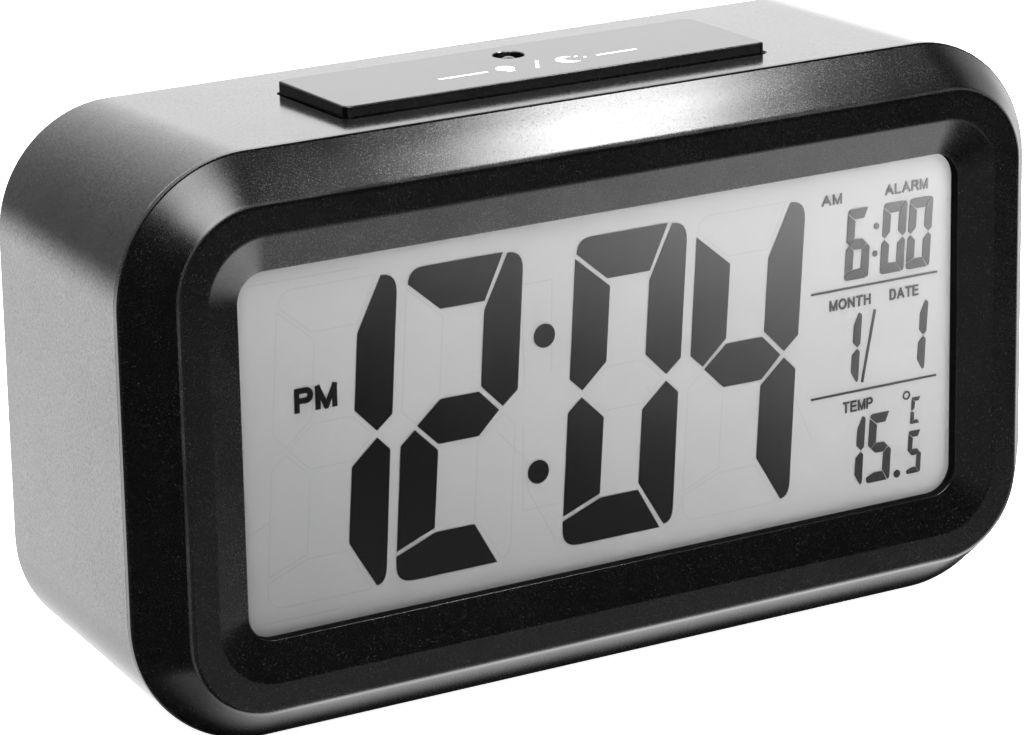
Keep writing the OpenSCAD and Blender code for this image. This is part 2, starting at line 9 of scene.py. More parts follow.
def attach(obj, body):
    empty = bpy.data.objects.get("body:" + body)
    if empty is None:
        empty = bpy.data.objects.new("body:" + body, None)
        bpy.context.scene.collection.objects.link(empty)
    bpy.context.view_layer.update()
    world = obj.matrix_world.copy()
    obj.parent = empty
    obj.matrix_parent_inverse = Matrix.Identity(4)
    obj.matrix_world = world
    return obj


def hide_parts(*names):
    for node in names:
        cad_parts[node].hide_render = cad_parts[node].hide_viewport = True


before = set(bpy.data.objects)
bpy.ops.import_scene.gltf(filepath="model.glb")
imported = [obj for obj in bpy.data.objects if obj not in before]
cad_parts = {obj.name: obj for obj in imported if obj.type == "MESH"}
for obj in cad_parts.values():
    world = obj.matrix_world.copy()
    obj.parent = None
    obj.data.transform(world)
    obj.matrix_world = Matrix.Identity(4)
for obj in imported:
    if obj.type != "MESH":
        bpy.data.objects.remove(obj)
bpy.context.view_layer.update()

# ---- Sizes, in case coordinates: y behind the rim, z above the case's lowest edge ----
MM = 0.001
WIDTH, HEIGHT, DEPTH = 135.4, 75.5, 44.0
FOOT_H = 0.8
MID_X, MID_Z = WIDTH / 2, HEIGHT / 2
CORNER_R = 18.0
WALL = 2.0
JOINT_Y = 7.0
LIP_Y = 6.1
LIP_STEP = 0.15
RIDGE_X, RIDGE_Z, RIDGE_R = 62.5, 32.55, 11.2
BAND_X, BAND_Z, BAND_R = 58.5, 28.5, 8.2
WIN_X, WIN_Z, WIN_R = 53.7, 23.7, 3.8
SLOPE_D = 1.8
GLASS_Y = 3.2
GLASS_X, GLASS_Z = 55.3, 25.5
SIDE_DRAFT, TOP_DRAFT, BOTTOM_DRAFT = 1.6, 0.4, 2.9
BACK_R = 1.2
PANEL_Y = 42.8
CONTROL_Z = 60.0
CAP_OUT = 43.8
POST_X, POST_Z = MID_X - 7.5, 22.0
FOOT_X, FOOT_YS = 44.0, (13.0, 37.0)
KEY_PITCH = 15.0
SLIDER_X, SLIDER_TRAVEL = 45.0, 3.0
BAR_Y = 23.0
BAR_LEN, BAR_DEP, BAR_TOP = 62.8, 18.2, 76.8
BAR_FLANGE = 72.35
BAR_ROOF = BAR_TOP - 1.6
LENS_Y, LENS_R = 27.0, 1.7


def place(x, y, z):
    """A point in case coordinates, in millimetres, to the frame in metres."""
    return Vector((x, y - DEPTH / 2, z + FOOT_H)) * MM


# ---- Shapes ----
def outline(half_w, low, high, r, x=0.0, steps=20, extra=()):
    """Rectangle with round corners, as (x, z) pairs counterclockwise from the right side.
    The extra points lie along each straight, at these shares of its length."""
    arcs = []
    for sx, top, start in ((1, True, 0), (-1, True, 90), (-1, False, 180), (1, False, 270)):
        cx, cz = sx * (half_w - r), high - r if top else low + r
        turn = [math.radians(start + 90 * i / steps) for i in range(steps + 1)]
        arcs.append([(x + cx + r * math.cos(a), cz + r * math.sin(a)) for a in turn])
    points = []
    for arc, following in zip(arcs, arcs[1:] + arcs[:1]):
        (ax, az), (bx, bz) = arc[-1], following[0]
        points += arc + [(ax + (bx - ax) * t, az + (bz - az) * t) for t in extra]
    return points


def soften(path, cyclic=False, steps=5):
    """Rounds a path of rings. Each item is (bend, y, ...), and bend is the length trimmed on each side."""
    out = []
    for i, (bend, *here) in enumerate(path):
        if not bend or (not cyclic and i in (0, len(path) - 1)):
            out.append(here)
            continue
        ends = []
        for other in (path[i - 1][1:], path[(i + 1) % len(path)][1:]):
            share = min(bend / math.dist(here[:3], other[:3]), 0.5)
            ends.append([u + (v - u) * share for u, v in zip(here, other)])
        for k in range(steps + 1):
            t = k / steps
            out.append([(1 - t) ** 2 * a + 2 * t * (1 - t) * b + t * t * c
                        for a, b, c in zip(ends[0], here, ends[1])])
    return out


def add_rings(bm, rings, cyclic=False):
    """Closed skin through rings of points, capped at both ends unless the rings join up."""
    rows = [[bm.verts.new(p) for p in ring] for ring in rings]
    count = len(rows[0])
    pairs = list(zip(rows, rows[1:])) + ([(rows[-1], rows[0])] if cyclic else [])
    for a, b in pairs:
        for i in range(count):
            j = (i + 1) % count
            bm.faces.new((a[i], a[j], b[j], b[i]))
    if not cyclic:
        bm.faces.new(rows[0][::-1])
        bm.faces.new(rows[-1])


def frames(path, x=0.0, steps=20, extra=()):
    """Upright rings for a path of (y, half width, low, high, radius)."""
    return [[place(px, y, pz) for px, pz in outline(w, low, high, r, x, steps, extra)]
            for y, w, low, high, r in path]


def tiles(path, x, y, steps=12):
    """Flat rings for a path of (z, half width, half depth, radius)."""
    return [[place(px, y + py, z) for px, py in outline(w, -d, d, r, x, steps)] for z, w, d, r in path]


def lathe(centre, axis, profile, steps=32):
    """Round rings for a profile of (distance along the axis, radius), in case coordinates."""
    axis = Vector(axis)
    side = axis.orthogonal().normalized()
    up = axis.cross(side)
    turn = [2 * math.pi * i / steps for i in range(steps)]
    return [[place(*(Vector(centre) + axis * t + (side * math.cos(a) + up * math.sin(a)) * r)) for a in turn]
            for t, r in profile]


def box_rings(low, high):
    """Two rings of a plain block, used inside and for cutting."""
    (x0, y0, z0), (x1, y1, z1) = low, high
    return [[place(x, y, z) for x, z in ((x0, z0), (x1, z0), (x1, z1), (x0, z1))] for y in (y0, y1)]


def object_from(bm, name):
    """New object from an edit mesh, which is freed."""
    bmesh.ops.recalc_face_normals(bm, faces=bm.faces)
    mesh = bpy.data.meshes.new(name)
    bm.to_mesh(mesh)
    bm.free()
    obj = bpy.data.objects.new(name, mesh)
    bpy.context.scene.collection.objects.link(obj)
    return obj


def mesh_object(name, *ring_sets, cyclic=False):
    """New object from closed skins."""
    bm = bmesh.new()
    for rings in ring_sets:
        add_rings(bm, rings, cyclic)
    return object_from(bm, name)


def merge(obj, operation, *ring_sets, cyclic=False):
    """Joins each closed skin to the object, or cuts it away."""
    for rings in ring_sets:
        tool = mesh_object("tool", rings, cyclic=cyclic)
        mod = obj.modifiers.new("merge", "BOOLEAN")
        mod.operation, mod.solver, mod.object = operation, "MANIFOLD", tool
        graph = bpy.context.evaluated_depsgraph_get()
        mesh = bpy.data.meshes.new_from_object(obj.evaluated_get(graph))
        obj.modifiers.clear()
        old, obj.data = obj.data, mesh
        bpy.data.meshes.remove(old)
        bpy.data.objects.remove(tool)


def join_into(obj, *others):
    """Adds the other objects' meshes to this one and removes them."""
    bm = bmesh.new()
    bm.from_mesh(obj.data)
    for other in others:
        bm.from_mesh(other.data)
        bpy.data.objects.remove(other)
    bm.to_mesh(obj.data)
    bm.free()


def dress(obj, body, material, nodes=(), angle=28.0, weighted=True):
    """Shades a piece, gives it its material and its body, and hides the CAD nodes it stands for."""
    obj.data.shade_smooth()
    obj.data.set_sharp_from_angle(angle=math.radians(angle))
    if weighted:
        mod = obj.modifiers.new("even_normals", "WEIGHTED_NORMAL")
        mod.keep_sharp, mod.weight = True, 80
    obj.data.materials.clear()
    obj.data.materials.append(material)
    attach(obj, body)
    if nodes:
        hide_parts(*nodes)
    return obj


# ---- Materials ----
class Shader:
    """A node material with short calls for the nodes used here."""

    def __init__(self, name, **uniform):
        self.mat = bpy.data.materials.new(name)
        self.mat.use_nodes = True
        self.tree = self.mat.node_tree
        self.bsdf = self.tree.nodes["Principled BSDF"]
        self.output = self.tree.nodes["Material Output"]
        self.coords = self.tree.nodes.new("ShaderNodeTexCoord").outputs["Object"]
        for key, value in uniform.items():
            self.bsdf.inputs[key.replace("_", " ")].default_value = value

    def link(self, out, socket):
        if hasattr(out, "links"):
            self.tree.links.new(out, socket)
        else:
            socket.default_value = out

    def node(self, kind, inputs=(), **settings):
        made = self.tree.nodes.new(kind)
        for key, value in settings.items():
            setattr(made, key, value)
        for key, value in dict(inputs).items():
            self.link(value, made.inputs[key])
        return made

    def noise(self, scale, detail=2.0, rough=0.5, coords=None):
        return self.node("ShaderNodeTexNoise", {"Vector": coords or self.coords, "Scale": scale,
                                                "Detail": detail, "Roughness": rough}).outputs["Fac"]

    def fit(self, value, low, high, to_low, to_high, smooth=False):
        made = self.node("ShaderNodeMapRange", {"Value": value, "From Min": low, "From Max": high,
                                                "To Min": to_low, "To Max": to_high})
        made.interpolation_type = "SMOOTHSTEP" if smooth else "LINEAR"
        return made.outputs["Result"]

    def math(self, operation, a, b=0.0):
        made = self.node("ShaderNodeMath", operation=operation)
        self.link(a, made.inputs[0])
        self.link(b, made.inputs[1])
        return made.outputs[0]

    def grey(self, value):
        made = self.node("ShaderNodeCombineColor")
        for i in range(3):
            self.link(value, made.inputs[i])
        return made.outputs[0]

    def tint(self, value, low, high):
        made = self.node("ShaderNodeValToRGB", {"Fac": value})
        for stop, colour in zip(made.color_ramp.elements, (low, high)):
            stop.color = (*colour, 1)
        return made.outputs["Color"]

    def bump(self, *layers):
        """Each layer is (height, depth in metres)."""
        normal = None
        for height, depth in layers:
            inputs = {"Height": height, "Distance": depth, "Strength": 1.0}
            if normal:
                inputs["Normal"] = normal
            normal = self.node("ShaderNodeBump", inputs).outputs["Normal"]
        self.link(normal, self.bsdf.inputs["Normal"])


def plastic(name, grey, rough, grain=5200.0, depth=0.35e-5, spread=0.05, wear_and_highlight=0.008, lift=0.35, glint_specks=0.04,
            sheen=0.12, axis="Y", edge_band=(0.07, 0.4, 0.6, 0.93), **uniform):
    """Moulded satin plastic: eroded grain, pale specks painted into the colour as glints, patchy gloss and paler
    edges, a painted highlight on the rounded edges that also stands for handling wear. The paler edges are the
    rounded surfaces between the faces along the axis and those across it: the band given for them says where the
    painted highlight starts, is full, starts to fade and ends, as the square of the normal along the axis."""
    s = Shader(name, **uniform)
    fine = s.noise(grain, 3.0, 0.6)
    patch = s.noise(95.0, 4.0, 0.6)
    cells = s.node("ShaderNodeTexVoronoi", {"Vector": s.coords, "Scale": grain * 0.85})
    chance = s.node("ShaderNodeSeparateColor", {"Color": cells.outputs["Color"]}).outputs[0]
    # Painted glints: sparse pale specks in the colour stand in for the sparkle of the eroded finish
    painted_glints = s.math("MULTIPLY", s.fit(cells.outputs["Distance"], 0.2, 0.38, 1.0, 0.0),
                   s.fit(chance, 0.8, 1.0, 0.0, glint_specks))
    normal = s.node("ShaderNodeTexCoord").outputs["Normal"]
    lean = s.node("ShaderNodeSeparateXYZ", {"Vector": normal}).outputs[axis]
    square = s.math("MULTIPLY", lean, lean)
    # Painted edge highlight: a paler band on the rounded edges, which also stands for handling wear
    edge = s.math("MULTIPLY", s.fit(square, *edge_band[:2], 0.0, wear_and_highlight, True), s.fit(square, *edge_band[2:], 1.0, 0.0, True))
    edge = s.math("MULTIPLY", edge, s.fit(patch, 0.35, 0.6, 0.4, 1.0))
    tone = s.fit(patch, 0.3, 0.7, 1 - lift * 0.4, 1 + lift * 0.4)
    tone = s.math("MULTIPLY", tone, s.fit(fine, 0.3, 0.7, 1 - lift, 1 + lift))
    value = s.math("ADD", s.math("ADD", s.math("MULTIPLY", tone, grey), edge), painted_glints)
    s.link(s.grey(value), s.bsdf.inputs["Base Color"])
    gloss = s.math("ADD", s.fit(patch, 0.3, 0.7, rough - spread * 0.4, rough + spread * 0.4),
                   s.fit(fine, 0.35, 0.65, -spread, spread))
    s.link(gloss, s.bsdf.inputs["Roughness"])
    level = s.math("MULTIPLY", s.fit(fine, 0.3, 0.7, 0.5 - sheen, 0.5 + sheen), s.fit(patch, 0.3, 0.7, 0.9, 1.1))
    s.link(level, s.bsdf.inputs["Specular IOR Level"])
    s.bump((fine, depth))
    return s.mat


def plain(name, low, high, rough, scale=900.0, depth=4e-6, spread=0.06, **uniform):
    """Finish for the small inner pieces: two tones mixed by noise, uneven gloss and a light surface texture."""
    s = Shader(name, **uniform)
    n = s.noise(scale, 3.0, 0.55)
    s.link(s.tint(s.fit(n, 0.3, 0.7, 0.0, 1.0), low, high), s.bsdf.inputs["Base Color"])
    s.link(s.fit(s.noise(scale * 0.35), 0.3, 0.7, rough - spread, rough + spread), s.bsdf.inputs["Roughness"])
    s.bump((n, depth))
    return s.mat


def painted_glare_shade(s, base, across, upward, floor=0.0):
    """Painted shading over the display: grey that grows lighter towards the upper right, from sRGB levels per
    millimetre, standing in for the glare it reflects and for its contrast changing off axis, as liquid crystal
    does.
    """
    axes = s.node("ShaderNodeSeparateXYZ", {"Vector": s.coords}).outputs
    level = s.math("ADD", base - upward * (MID_Z + FOOT_H), s.math("MULTIPLY", axes["X"], across / MM))
    level = s.math("ADD", level, s.math("MULTIPLY", axes["Z"], upward / MM))
    level = s.math("DIVIDE", s.math("MAXIMUM", level, floor), 255.0)
    return s.math("POWER", level, 2.2)


MATS = {}
# Each plastic paints a paler highlight on its rounded edges and sparse pale glint specks into its colour
MATS["bezel"] = plastic("bezel_satin", 0.0009, 0.24, glint_specks=0.02, wear_and_highlight=0.012, edge_band=(0.5, 0.58, 0.8, 0.87))
MATS["case"] = plastic("case_satin", 0.004, 0.13, grain=3000.0, spread=0.04, glint_specks=0.02, wear_and_highlight=0.02, sheen=0.24)
MATS["bar"] = plastic("bar_satin", 0.0008, 0.2, grain=3400.0, wear_and_highlight=0.04, glint_specks=0.006, sheen=0.24, axis="Z")
MATS["key"] = plastic("key_satin", 0.02, 0.4, wear_and_highlight=0.02)
MATS["door"] = plastic("door_satin", 0.009, 0.4, wear_and_highlight=0.02)

LCD_LIGHT = 3.12   # how brightly the lights fill the display


def display_material(name, base, across, upward, floor, rough, drift):
    s = Shader(name, Specular_IOR_Level=0.15)
    tone = s.math("MULTIPLY", painted_glare_shade(s, base, across, upward, floor), 1 / LCD_LIGHT)
    cloud = s.noise(60.0, 3.0, 0.5)
    tone = s.math("MULTIPLY", tone, s.fit(cloud, 0.3, 0.7, 1 - drift, 1 + drift))
    s.link(s.grey(tone), s.bsdf.inputs["Base Color"])
    s.link(s.fit(cloud, 0.3, 0.7, rough - 0.05, rough + 0.05), s.bsdf.inputs["Roughness"])
    s.bump((s.noise(9000.0), 1e-6))
    return s.mat


# Ground, segments and ghosts all carry the painted shading, lighter towards the upper right
MATS["ground"] = display_material("display_ground", 196, 0.5, 0.9, 0, 0.7, 0.02)
MATS["segment"] = display_material("display_segment", 55, 1.2, 2.3, 5, 0.5, 0.05)
MATS["ghost"] = display_material("display_ghost", 186, 0.5, 0.9, 0, 0.7, 0.02)


def clear_material(name, tint, rough, head_on):
    """Thin clear plastic: straight through, with a gloss that grows from its head-on share with the angle."""
    s = Shader(name)
    tree = s.tree
    through = s.node("ShaderNodeBsdfTransparent", {"Color": (*tint, 1)}).outputs[0]
    haze = s.noise(400.0, 3.0)
    shine = s.node("ShaderNodeBsdfAnisotropic", {"Color": (1, 1, 1, 1)})
    s.link(s.fit(haze, 0.3, 0.7, rough * 0.7, rough * 1.3), shine.inputs["Roughness"])
    ripple = s.node("ShaderNodeBump", {"Height": haze, "Distance": 2e-7, "Strength": 1.0}).outputs["Normal"]
    tree.links.new(ripple, shine.inputs["Normal"])
    slant = s.math("POWER", s.node("ShaderNodeLayerWeight", {"Blend": 0.5}).outputs["Facing"], 5.0)
    share = s.fit(slant, 0.0, 1.0, head_on, 1.0)
    mix = s.node("ShaderNodeMixShader", {0: share, 1: through, 2: shine.outputs[0]})
    tree.links.new(mix.outputs[0], s.output.inputs["Surface"])
    tree.nodes.remove(s.bsdf)
    return s.mat


MATS["window"] = clear_material("window_clear", (0.97, 0.97, 0.97), 0.06, 0.0125)
MATS["dome"] = plain("dome_clear", (0.03, 0.03, 0.03), (0.05, 0.05, 0.05), 0.1, 300.0, 1e-6, 0.04,
                     Transmission_Weight=0.5, IOR=1.49)
MATS["gasket"] = plain("gasket_matt", (0.0008, 0.0008, 0.0008), (0.002, 0.002, 0.002), 0.8, 3000.0,
                       Specular_IOR_Level=0.04)
MATS["ink"] = plain("white_ink", (0.75, 0.75, 0.75), (0.88, 0.88, 0.88), 0.55, 6000.0, 4e-6)
MATS["rubber"] = plain("foot_rubber_matt", (0.012, 0.012, 0.012), (0.03, 0.03, 0.03), 0.75, 4000.0, 1.5e-5)
MATS["steel"] = plain("steel_plated", (0.42, 0.43, 0.44), (0.6, 0.6, 0.61), 0.3, 2500.0, 5e-6, Metallic=1.0)
MATS["board"] = plain("board_green", (0.004, 0.06, 0.03), (0.008, 0.1, 0.045), 0.35, 500.0, 5e-6)
MATS["chip"] = plain("chip_epoxy", (0.008, 0.008, 0.008), (0.02, 0.02, 0.02), 0.25, 700.0, 2e-5)
MATS["tan"] = plain("chip_ceramic", (0.4, 0.26, 0.13), (0.55, 0.38, 0.2), 0.45, 3000.0)
MATS["white"] = plain("white_moulded", (0.66, 0.66, 0.63), (0.78, 0.78, 0.75), 0.45, 1500.0, 6e-6)
MATS["film"] = plain("reflector_film", (0.7, 0.7, 0.7), (0.85, 0.85, 0.85), 0.2, 1200.0, 2e-6, Metallic=0.8)
MATS["zebra"] = plain("zebra_rubber", (0.3, 0.12, 0.14), (0.45, 0.2, 0.22), 0.6, 2500.0)
MATS["brass"] = plain("brass_disc", (0.6, 0.42, 0.16), (0.75, 0.55, 0.25), 0.3, 1500.0, 4e-6, Metallic=1.0)
MATS["ribbon"] = plain("ribbon_grey", (0.35, 0.4, 0.46), (0.48, 0.52, 0.58), 0.4, 2200.0)
MATS["cell"] = plain("cell_wrap", (0.02, 0.09, 0.06), (0.03, 0.13, 0.09), 0.28, 700.0)
MATS["glass_back"] = plain("lcd_back_film", (0.3, 0.31, 0.3), (0.42, 0.43, 0.42), 0.3, 600.0, 2e-6)

# ---- Front frame ----


def face(bend, y, x, z, r):
    return (bend, y, x, MID_Z - z, MID_Z + z, r)


def blend_face(bend, y, share):
    """A ring on the chamfer, a share of the way from the ridge to the joint."""
    return face(bend, y, RIDGE_X + (MID_X - RIDGE_X) * share, RIDGE_Z + (MID_Z - RIDGE_Z) * share,
                RIDGE_R + (CORNER_R - RIDGE_R) * share)


TONGUE = WALL + 0.65
BESIDE_ARCS = 0.01, 0.03, 0.1, 0.5, 0.9, 0.97, 0.99
bezel_path = [
    blend_face(0.05, JOINT_Y, 1.0),
    blend_face(0.08, LIP_Y + 0.16, 1.0),
    blend_face(0.02, LIP_Y + 0.07, 0.94),
    blend_face(0.04, LIP_Y, 0.96),
    blend_face(1.6, JOINT_Y / 2, 0.56),
    face(0.6, 0.15, RIDGE_X, RIDGE_Z, RIDGE_R),
    face(0.25, 0, RIDGE_X - 0.5, RIDGE_Z - 0.5, RIDGE_R - 0.5),
    face(0.3, 0, BAND_X + 0.05, BAND_Z + 0.05, BAND_R),
    face(0.12, SLOPE_D, WIN_X, WIN_Z, WIN_R),
    face(0, GLASS_Y + 0.06, WIN_X, WIN_Z, WIN_R),
    face(0, GLASS_Y + 0.06, RIDGE_X - 1.8, RIDGE_Z - 1.6, RIDGE_R - 2),
    face(0, JOINT_Y, MID_X - TONGUE - 1.3, MID_Z - TONGUE - 1.3, CORNER_R - 4.5),
    face(0.1, JOINT_Y + 1.6, MID_X - TONGUE - 1.3, MID_Z - TONGUE - 1.3, CORNER_R - 4.5),
    face(0.2, JOINT_Y + 1.6, MID_X - TONGUE, MID_Z - TONGUE, CORNER_R - 2.3),
    face(0.05, JOINT_Y, MID_X - TONGUE, MID_Z - TONGUE, CORNER_R - 2.3),
]
bezel = mesh_object("bezel_shell", frames(soften(bezel_path, cyclic=True), steps=32, extra=BESIDE_ARCS),
                    cyclic=True)
# Screw posts for the case and for the main board: x, z, outer radius, bore radius, end
BEZEL_POSTS = (POST_X, POST_Z, 2.9, 1.5, 13.9), (40, 29.3, 2.1, 0.9, 9.9)
posts = []
for sx in (-1, 1):
    for sz in (-1, 1):
        for cx, cz, outer, inner, end in BEZEL_POSTS:
            centre = (sx * cx, 0, MID_Z + sz * cz)
            posts.append(mesh_object("post", lathe(centre, (0, 1, 0), [
                (3.6, outer), (end - 0.2, outer), (end, outer - 0.2), (end, inner), (4.4, inner),
                (4.4, 0.05)], 24)))
join_into(bezel, *posts)
dress(bezel, "case", MATS["bezel"], ["front_bezel"])

# ---- Display ----


def plate(bm, points, y, thick, cx, cz):
    """Thin plate standing on the display, from an outline given from the display's centre."""
    rings = [[place(px + cx, yy, MID_Z + pz + cz) for px, pz in points] for yy in (y, y + thick)]
    add_rings(bm, rings)


def rounded_corner(a, b, steps=6):
    """Quarter turn between two points, bulging to the corner outside them."""
    cx = a[0] if abs(a[0]) > abs(b[0]) else b[0]
    cz = a[1] if abs(a[1]) > abs(b[1]) else b[1]
    return [((1 - t) ** 2 * a[0] + 2 * t * (1 - t) * cx + t * t * b[0],
             (1 - t) ** 2 * a[1] + 2 * t * (1 - t) * cz + t * t * b[1])
            for t in (i / steps for i in range(steps + 1))]


SEGMENTS = {
    "a": rounded_corner((-8.23, 18.3), (-6.12, 20.3)) + [(5.33, 20.3), (2.95, 14.45), (-3.45, 14.45)],
    "f": [(-8.39, 17.7), (-2.98, 13.4), (-2.97, 3.5), (-6.39, 0.25), (-8.36, 2.0)],
    "b": rounded_corner((6.04, 20.15), (8.38, 17.5)) + [(8.43, 2.1), (6.31, 0.25), (2.99, 3.4), (2.99, 13.2)],
    "e": [(-6.42, -0.65), (-2.94, -3.85), (-2.97, -14.0), (-8.37, -16.1), (-8.4, -2.4)],
    "c": [(6.38, -0.65), (8.31, -2.45)] + rounded_corner((8.46, -17.9), (7.11, -19.95))
         + [(2.91, -13.7), (2.91, -3.85)],
    "d": [(-8.42, -16.8), (-2.83, -14.6), (2.87, -14.6), (6.53, -20.3)]
         + rounded_corner((-5.82, -20.3), (-8.35, -17.8)),
    "g": [(-6.12, -0.15), (-2.88, 2.75), (2.72, 2.75), (5.78, -0.15), (2.94, -3.05), (-2.96, -3.05)],
}
DIGITS = {"0": "abcdef", "1": "bc", "2": "abged", "4": "fgbc", "5": "afgcd", "6": "afgecd", "C": "afed"}
SLANT = 0.0715
SEGMENT_Y, SEGMENT_T = 3.23, 0.05
GROUND_Y = 3.36
MAIN_DIGITS = ("1", -40.46), ("2", -22.25), ("0", 2.27), ("4", 20.58)
SMALL = 0.226, 0.235


def digit(bm, segments, cx, cz=0.0, sx=1.0, sz=1.0):
    for name in segments:
        points = [(px * sx + pz * sz * SLANT, pz * sz) for px, pz in SEGMENTS[name]]
        plate(bm, points, SEGMENT_Y, SEGMENT_T, cx, cz)


def disc(r, steps=32):
    return [(r * math.cos(2 * math.pi * i / steps), r * math.sin(2 * math.pi * i / steps)) for i in range(steps)]


def bar_line(x0, z0, x1, z1, width):
    dx, dz = x1 - x0, z1 - z0
    nx, nz = -dz * width / 2 / math.hypot(dx, dz), dx * width / 2 / math.hypot(dx, dz)
    return [(x0 + nx, z0 + nz), (x0 - nx, z0 - nz), (x1 - nx, z1 - nz), (x1 + nx, z1 + nz)]


bm = bmesh.new()
for shape, cx in MAIN_DIGITS:
    digit(bm, DIGITS[shape], cx)
for cx, cz in ((-9.6, 8.45), (-10.85, -9.4)):
    plate(bm, disc(1.57), SEGMENT_Y, SEGMENT_T, cx, cz)
for shape, cx, cz, sx, sz in (("6", 38.7, 12.9, *SMALL), ("0", 44.4, 12.9, *SMALL), ("0", 48.6, 12.9, *SMALL),
                              ("1", 37.16, -1.3, *SMALL), ("1", 47.9, -1.3, *SMALL),
                              ("1", 37.8, -15.7, *SMALL), ("5", 42.3, -15.7, *SMALL),
                              ("5", 48.0, -17.4, 0.135, 0.1465), ("C", 48.25, -11.6, 0.1, 0.0905)):
    digit(bm, DIGITS[shape], cx, cz, sx, sz)
for cx, cz, r in ((41.65, 14.85, 0.42), (41.4, 11.15, 0.42), (45.15, -20.0, 0.55)):
    plate(bm, disc(r, 20), SEGMENT_Y, SEGMENT_T, cx, cz)
plate(bm, bar_line(39.4, -6.2, 41.45, 3.5, 0.4), SEGMENT_Y, SEGMENT_T, 0, 0)
for cz in (7.1, -7.25):
    plate(bm, bar_line(31.2, cz, 51.5, cz, 0.28), SEGMENT_Y, SEGMENT_T, 0, 0)
ring = [[place(46.65 + r * math.cos(a), y, MID_Z - 9.3 + r * math.sin(a))
         for a in (2 * math.pi * i / 24 for i in range(24))]
        for y, r in ((SEGMENT_Y, 0.62), (SEGMENT_Y + SEGMENT_T, 0.62), (SEGMENT_Y + SEGMENT_T, 0.38),
                     (SEGMENT_Y, 0.38))]
add_rings(bm, ring, cyclic=True)
segments = object_from(bm, "display_segments")
dress(segments, "case", MATS["segment"], weighted=False)


def trace(bm, path, width, y):
    """Thin line along a path, its pieces at slightly different depths so that none lie in one plane."""
    for i, (a, b) in enumerate(zip(path, path[1:])):
        plate(bm, bar_line(*a, *b, width), y - 0.001 * (i % 4), 0.004, 0, 0)


GHOST_Y = GROUND_Y - 0.006
bm = bmesh.new()
for lit, cx in MAIN_DIGITS:
    for name in "abcdefg":
        if name not in DIGITS[lit]:
            rim = [(px + pz * SLANT + cx, pz) for px, pz in SEGMENTS[name]]
            trace(bm, rim + rim[:1], 0.13, GHOST_Y)
LEADS = (
    [(-16.4, -3.4), (-12.6, -7.5), (-12.4, -11.5), (-8.2, -19.5)],
    [(5.6, -1.0), (9.2, -5.2), (9.2, -11.2)],
    [(24.2, 3.2), (28.1, -1.6), (28.2, -5.6), (31.6, -13.2)],
    [(-52.5, -10.2), (-48.6, -8.4)],
    [(-12.6, 3.5), (-12.9, 15.6), (-8.3, 15.6), (-8.6, 3.5)],
    [(-12.9, -3.0), (-13.2, -14.2), (-7.9, -14.2)],
    [(-52.2, -22.0), (-40.0, -22.0)],
    [(-51.6, 21.6), (-36.0, 21.6)],
)
for path in LEADS:
    trace(bm, path, 0.16, GHOST_Y)
ghosts = object_from(bm, "display_ghosts")
dress(ghosts, "case", MATS["ghost"], weighted=False)

LETTERS = {
    "A": [[(0, 0), (0.5, 1), (1, 0)], [(0.19, 0.33), (0.81, 0.33)]],
    "D": [[(0, 0), (0, 1), (0.42, 1), (0.7, 0.88), (0.84, 0.5), (0.7, 0.12), (0.42, 0), (0, 0)]],
    "E": [[(0.74, 1), (0, 1), (0, 0), (0.76, 0)], [(0, 0.53), (0.7, 0.53)]],
    "H": [[(0, 0), (0, 1)], [(0.8, 0), (0.8, 1)], [(0, 0.53), (0.8, 0.53)]],
    "L": [[(0, 1), (0, 0), (0.68, 0)]],
    "M": [[(0, 0), (0, 1), (0.48, 0), (0.96, 1), (0.96, 0)]],
    "N": [[(0, 0), (0, 1), (0.8, 0), (0.8, 1)]],
    "O": [[(0.5 + 0.5 * math.cos(math.pi * i / 8), 0.5 + 0.5 * math.sin(math.pi * i / 8)) for i in range(17)]],
    "P": [[(0, 0), (0, 1), (0.5, 1), (0.63, 0.97), (0.74, 0.87), (0.78, 0.74), (0.74, 0.61), (0.63, 0.51),
           (0.5, 0.48), (0, 0.48)]],
    "R": [[(0, 0), (0, 1), (0.5, 1), (0.63, 0.97), (0.74, 0.88), (0.78, 0.75), (0.74, 0.62), (0.63, 0.53),
           (0.5, 0.5), (0, 0.5)],
          [(0.46, 0.5), (0.82, 0)]],
    "T": [[(0, 1), (0.82, 1)], [(0.41, 1), (0.41, 0)]],
}


def words(bm, text, x0, x1, z0, z1, width):
    """Sans capitals filling a box on the display, drawn with strokes of one width, each at its own depth."""
    high = z1 - z0 - width
    wide = [max(px for line in LETTERS[c] for px, _ in line) for c in text]
    gap = 0.42
    scale = (x1 - x0 - width) / (sum(wide) + gap * (len(text) - 1))
    left = x0 + width / 2
    step = 0
    for letter, span in zip(text, wide):
        for line in LETTERS[letter]:
            path = [(left + px * scale, z0 + width / 2 + pz * high) for px, pz in line]
            for a, b in zip(path, path[1:]):
                reach = width * 0.42 / math.dist(a, b)
                ends = [(u[0] + (u[0] - v[0]) * reach, u[1] + (u[1] - v[1]) * reach) for u, v in ((a, b), (b, a))]
                step = (step + 1) % 9
                plate(bm, bar_line(*ends[0], *ends[1], width), SEGMENT_Y - 0.003 * step, SEGMENT_T, 0, 0)
        left += (span + gap) * scale


bm = bmesh.new()
words(bm, "PM", -45.6, -39.6, 4.4, 7.6, 0.72)
for text, x0, x1, z0, z1 in (("AM", 32.9, 36.1, 18.75, 20.2), ("ALARM", 43.0, 49.9, 18.75, 20.2),
                             ("MONTH", 34.15, 40.75, 4.35, 5.85), ("DATE", 43.8, 48.5, 4.35, 5.85),
                             ("TEMP", 36.3, 41.15, -10.05, -8.5)):
    words(bm, text, x0, x1, z0, z1, 0.27)
captions = object_from(bm, "display_captions")
dress(captions, "case", MATS["segment"], weighted=False)

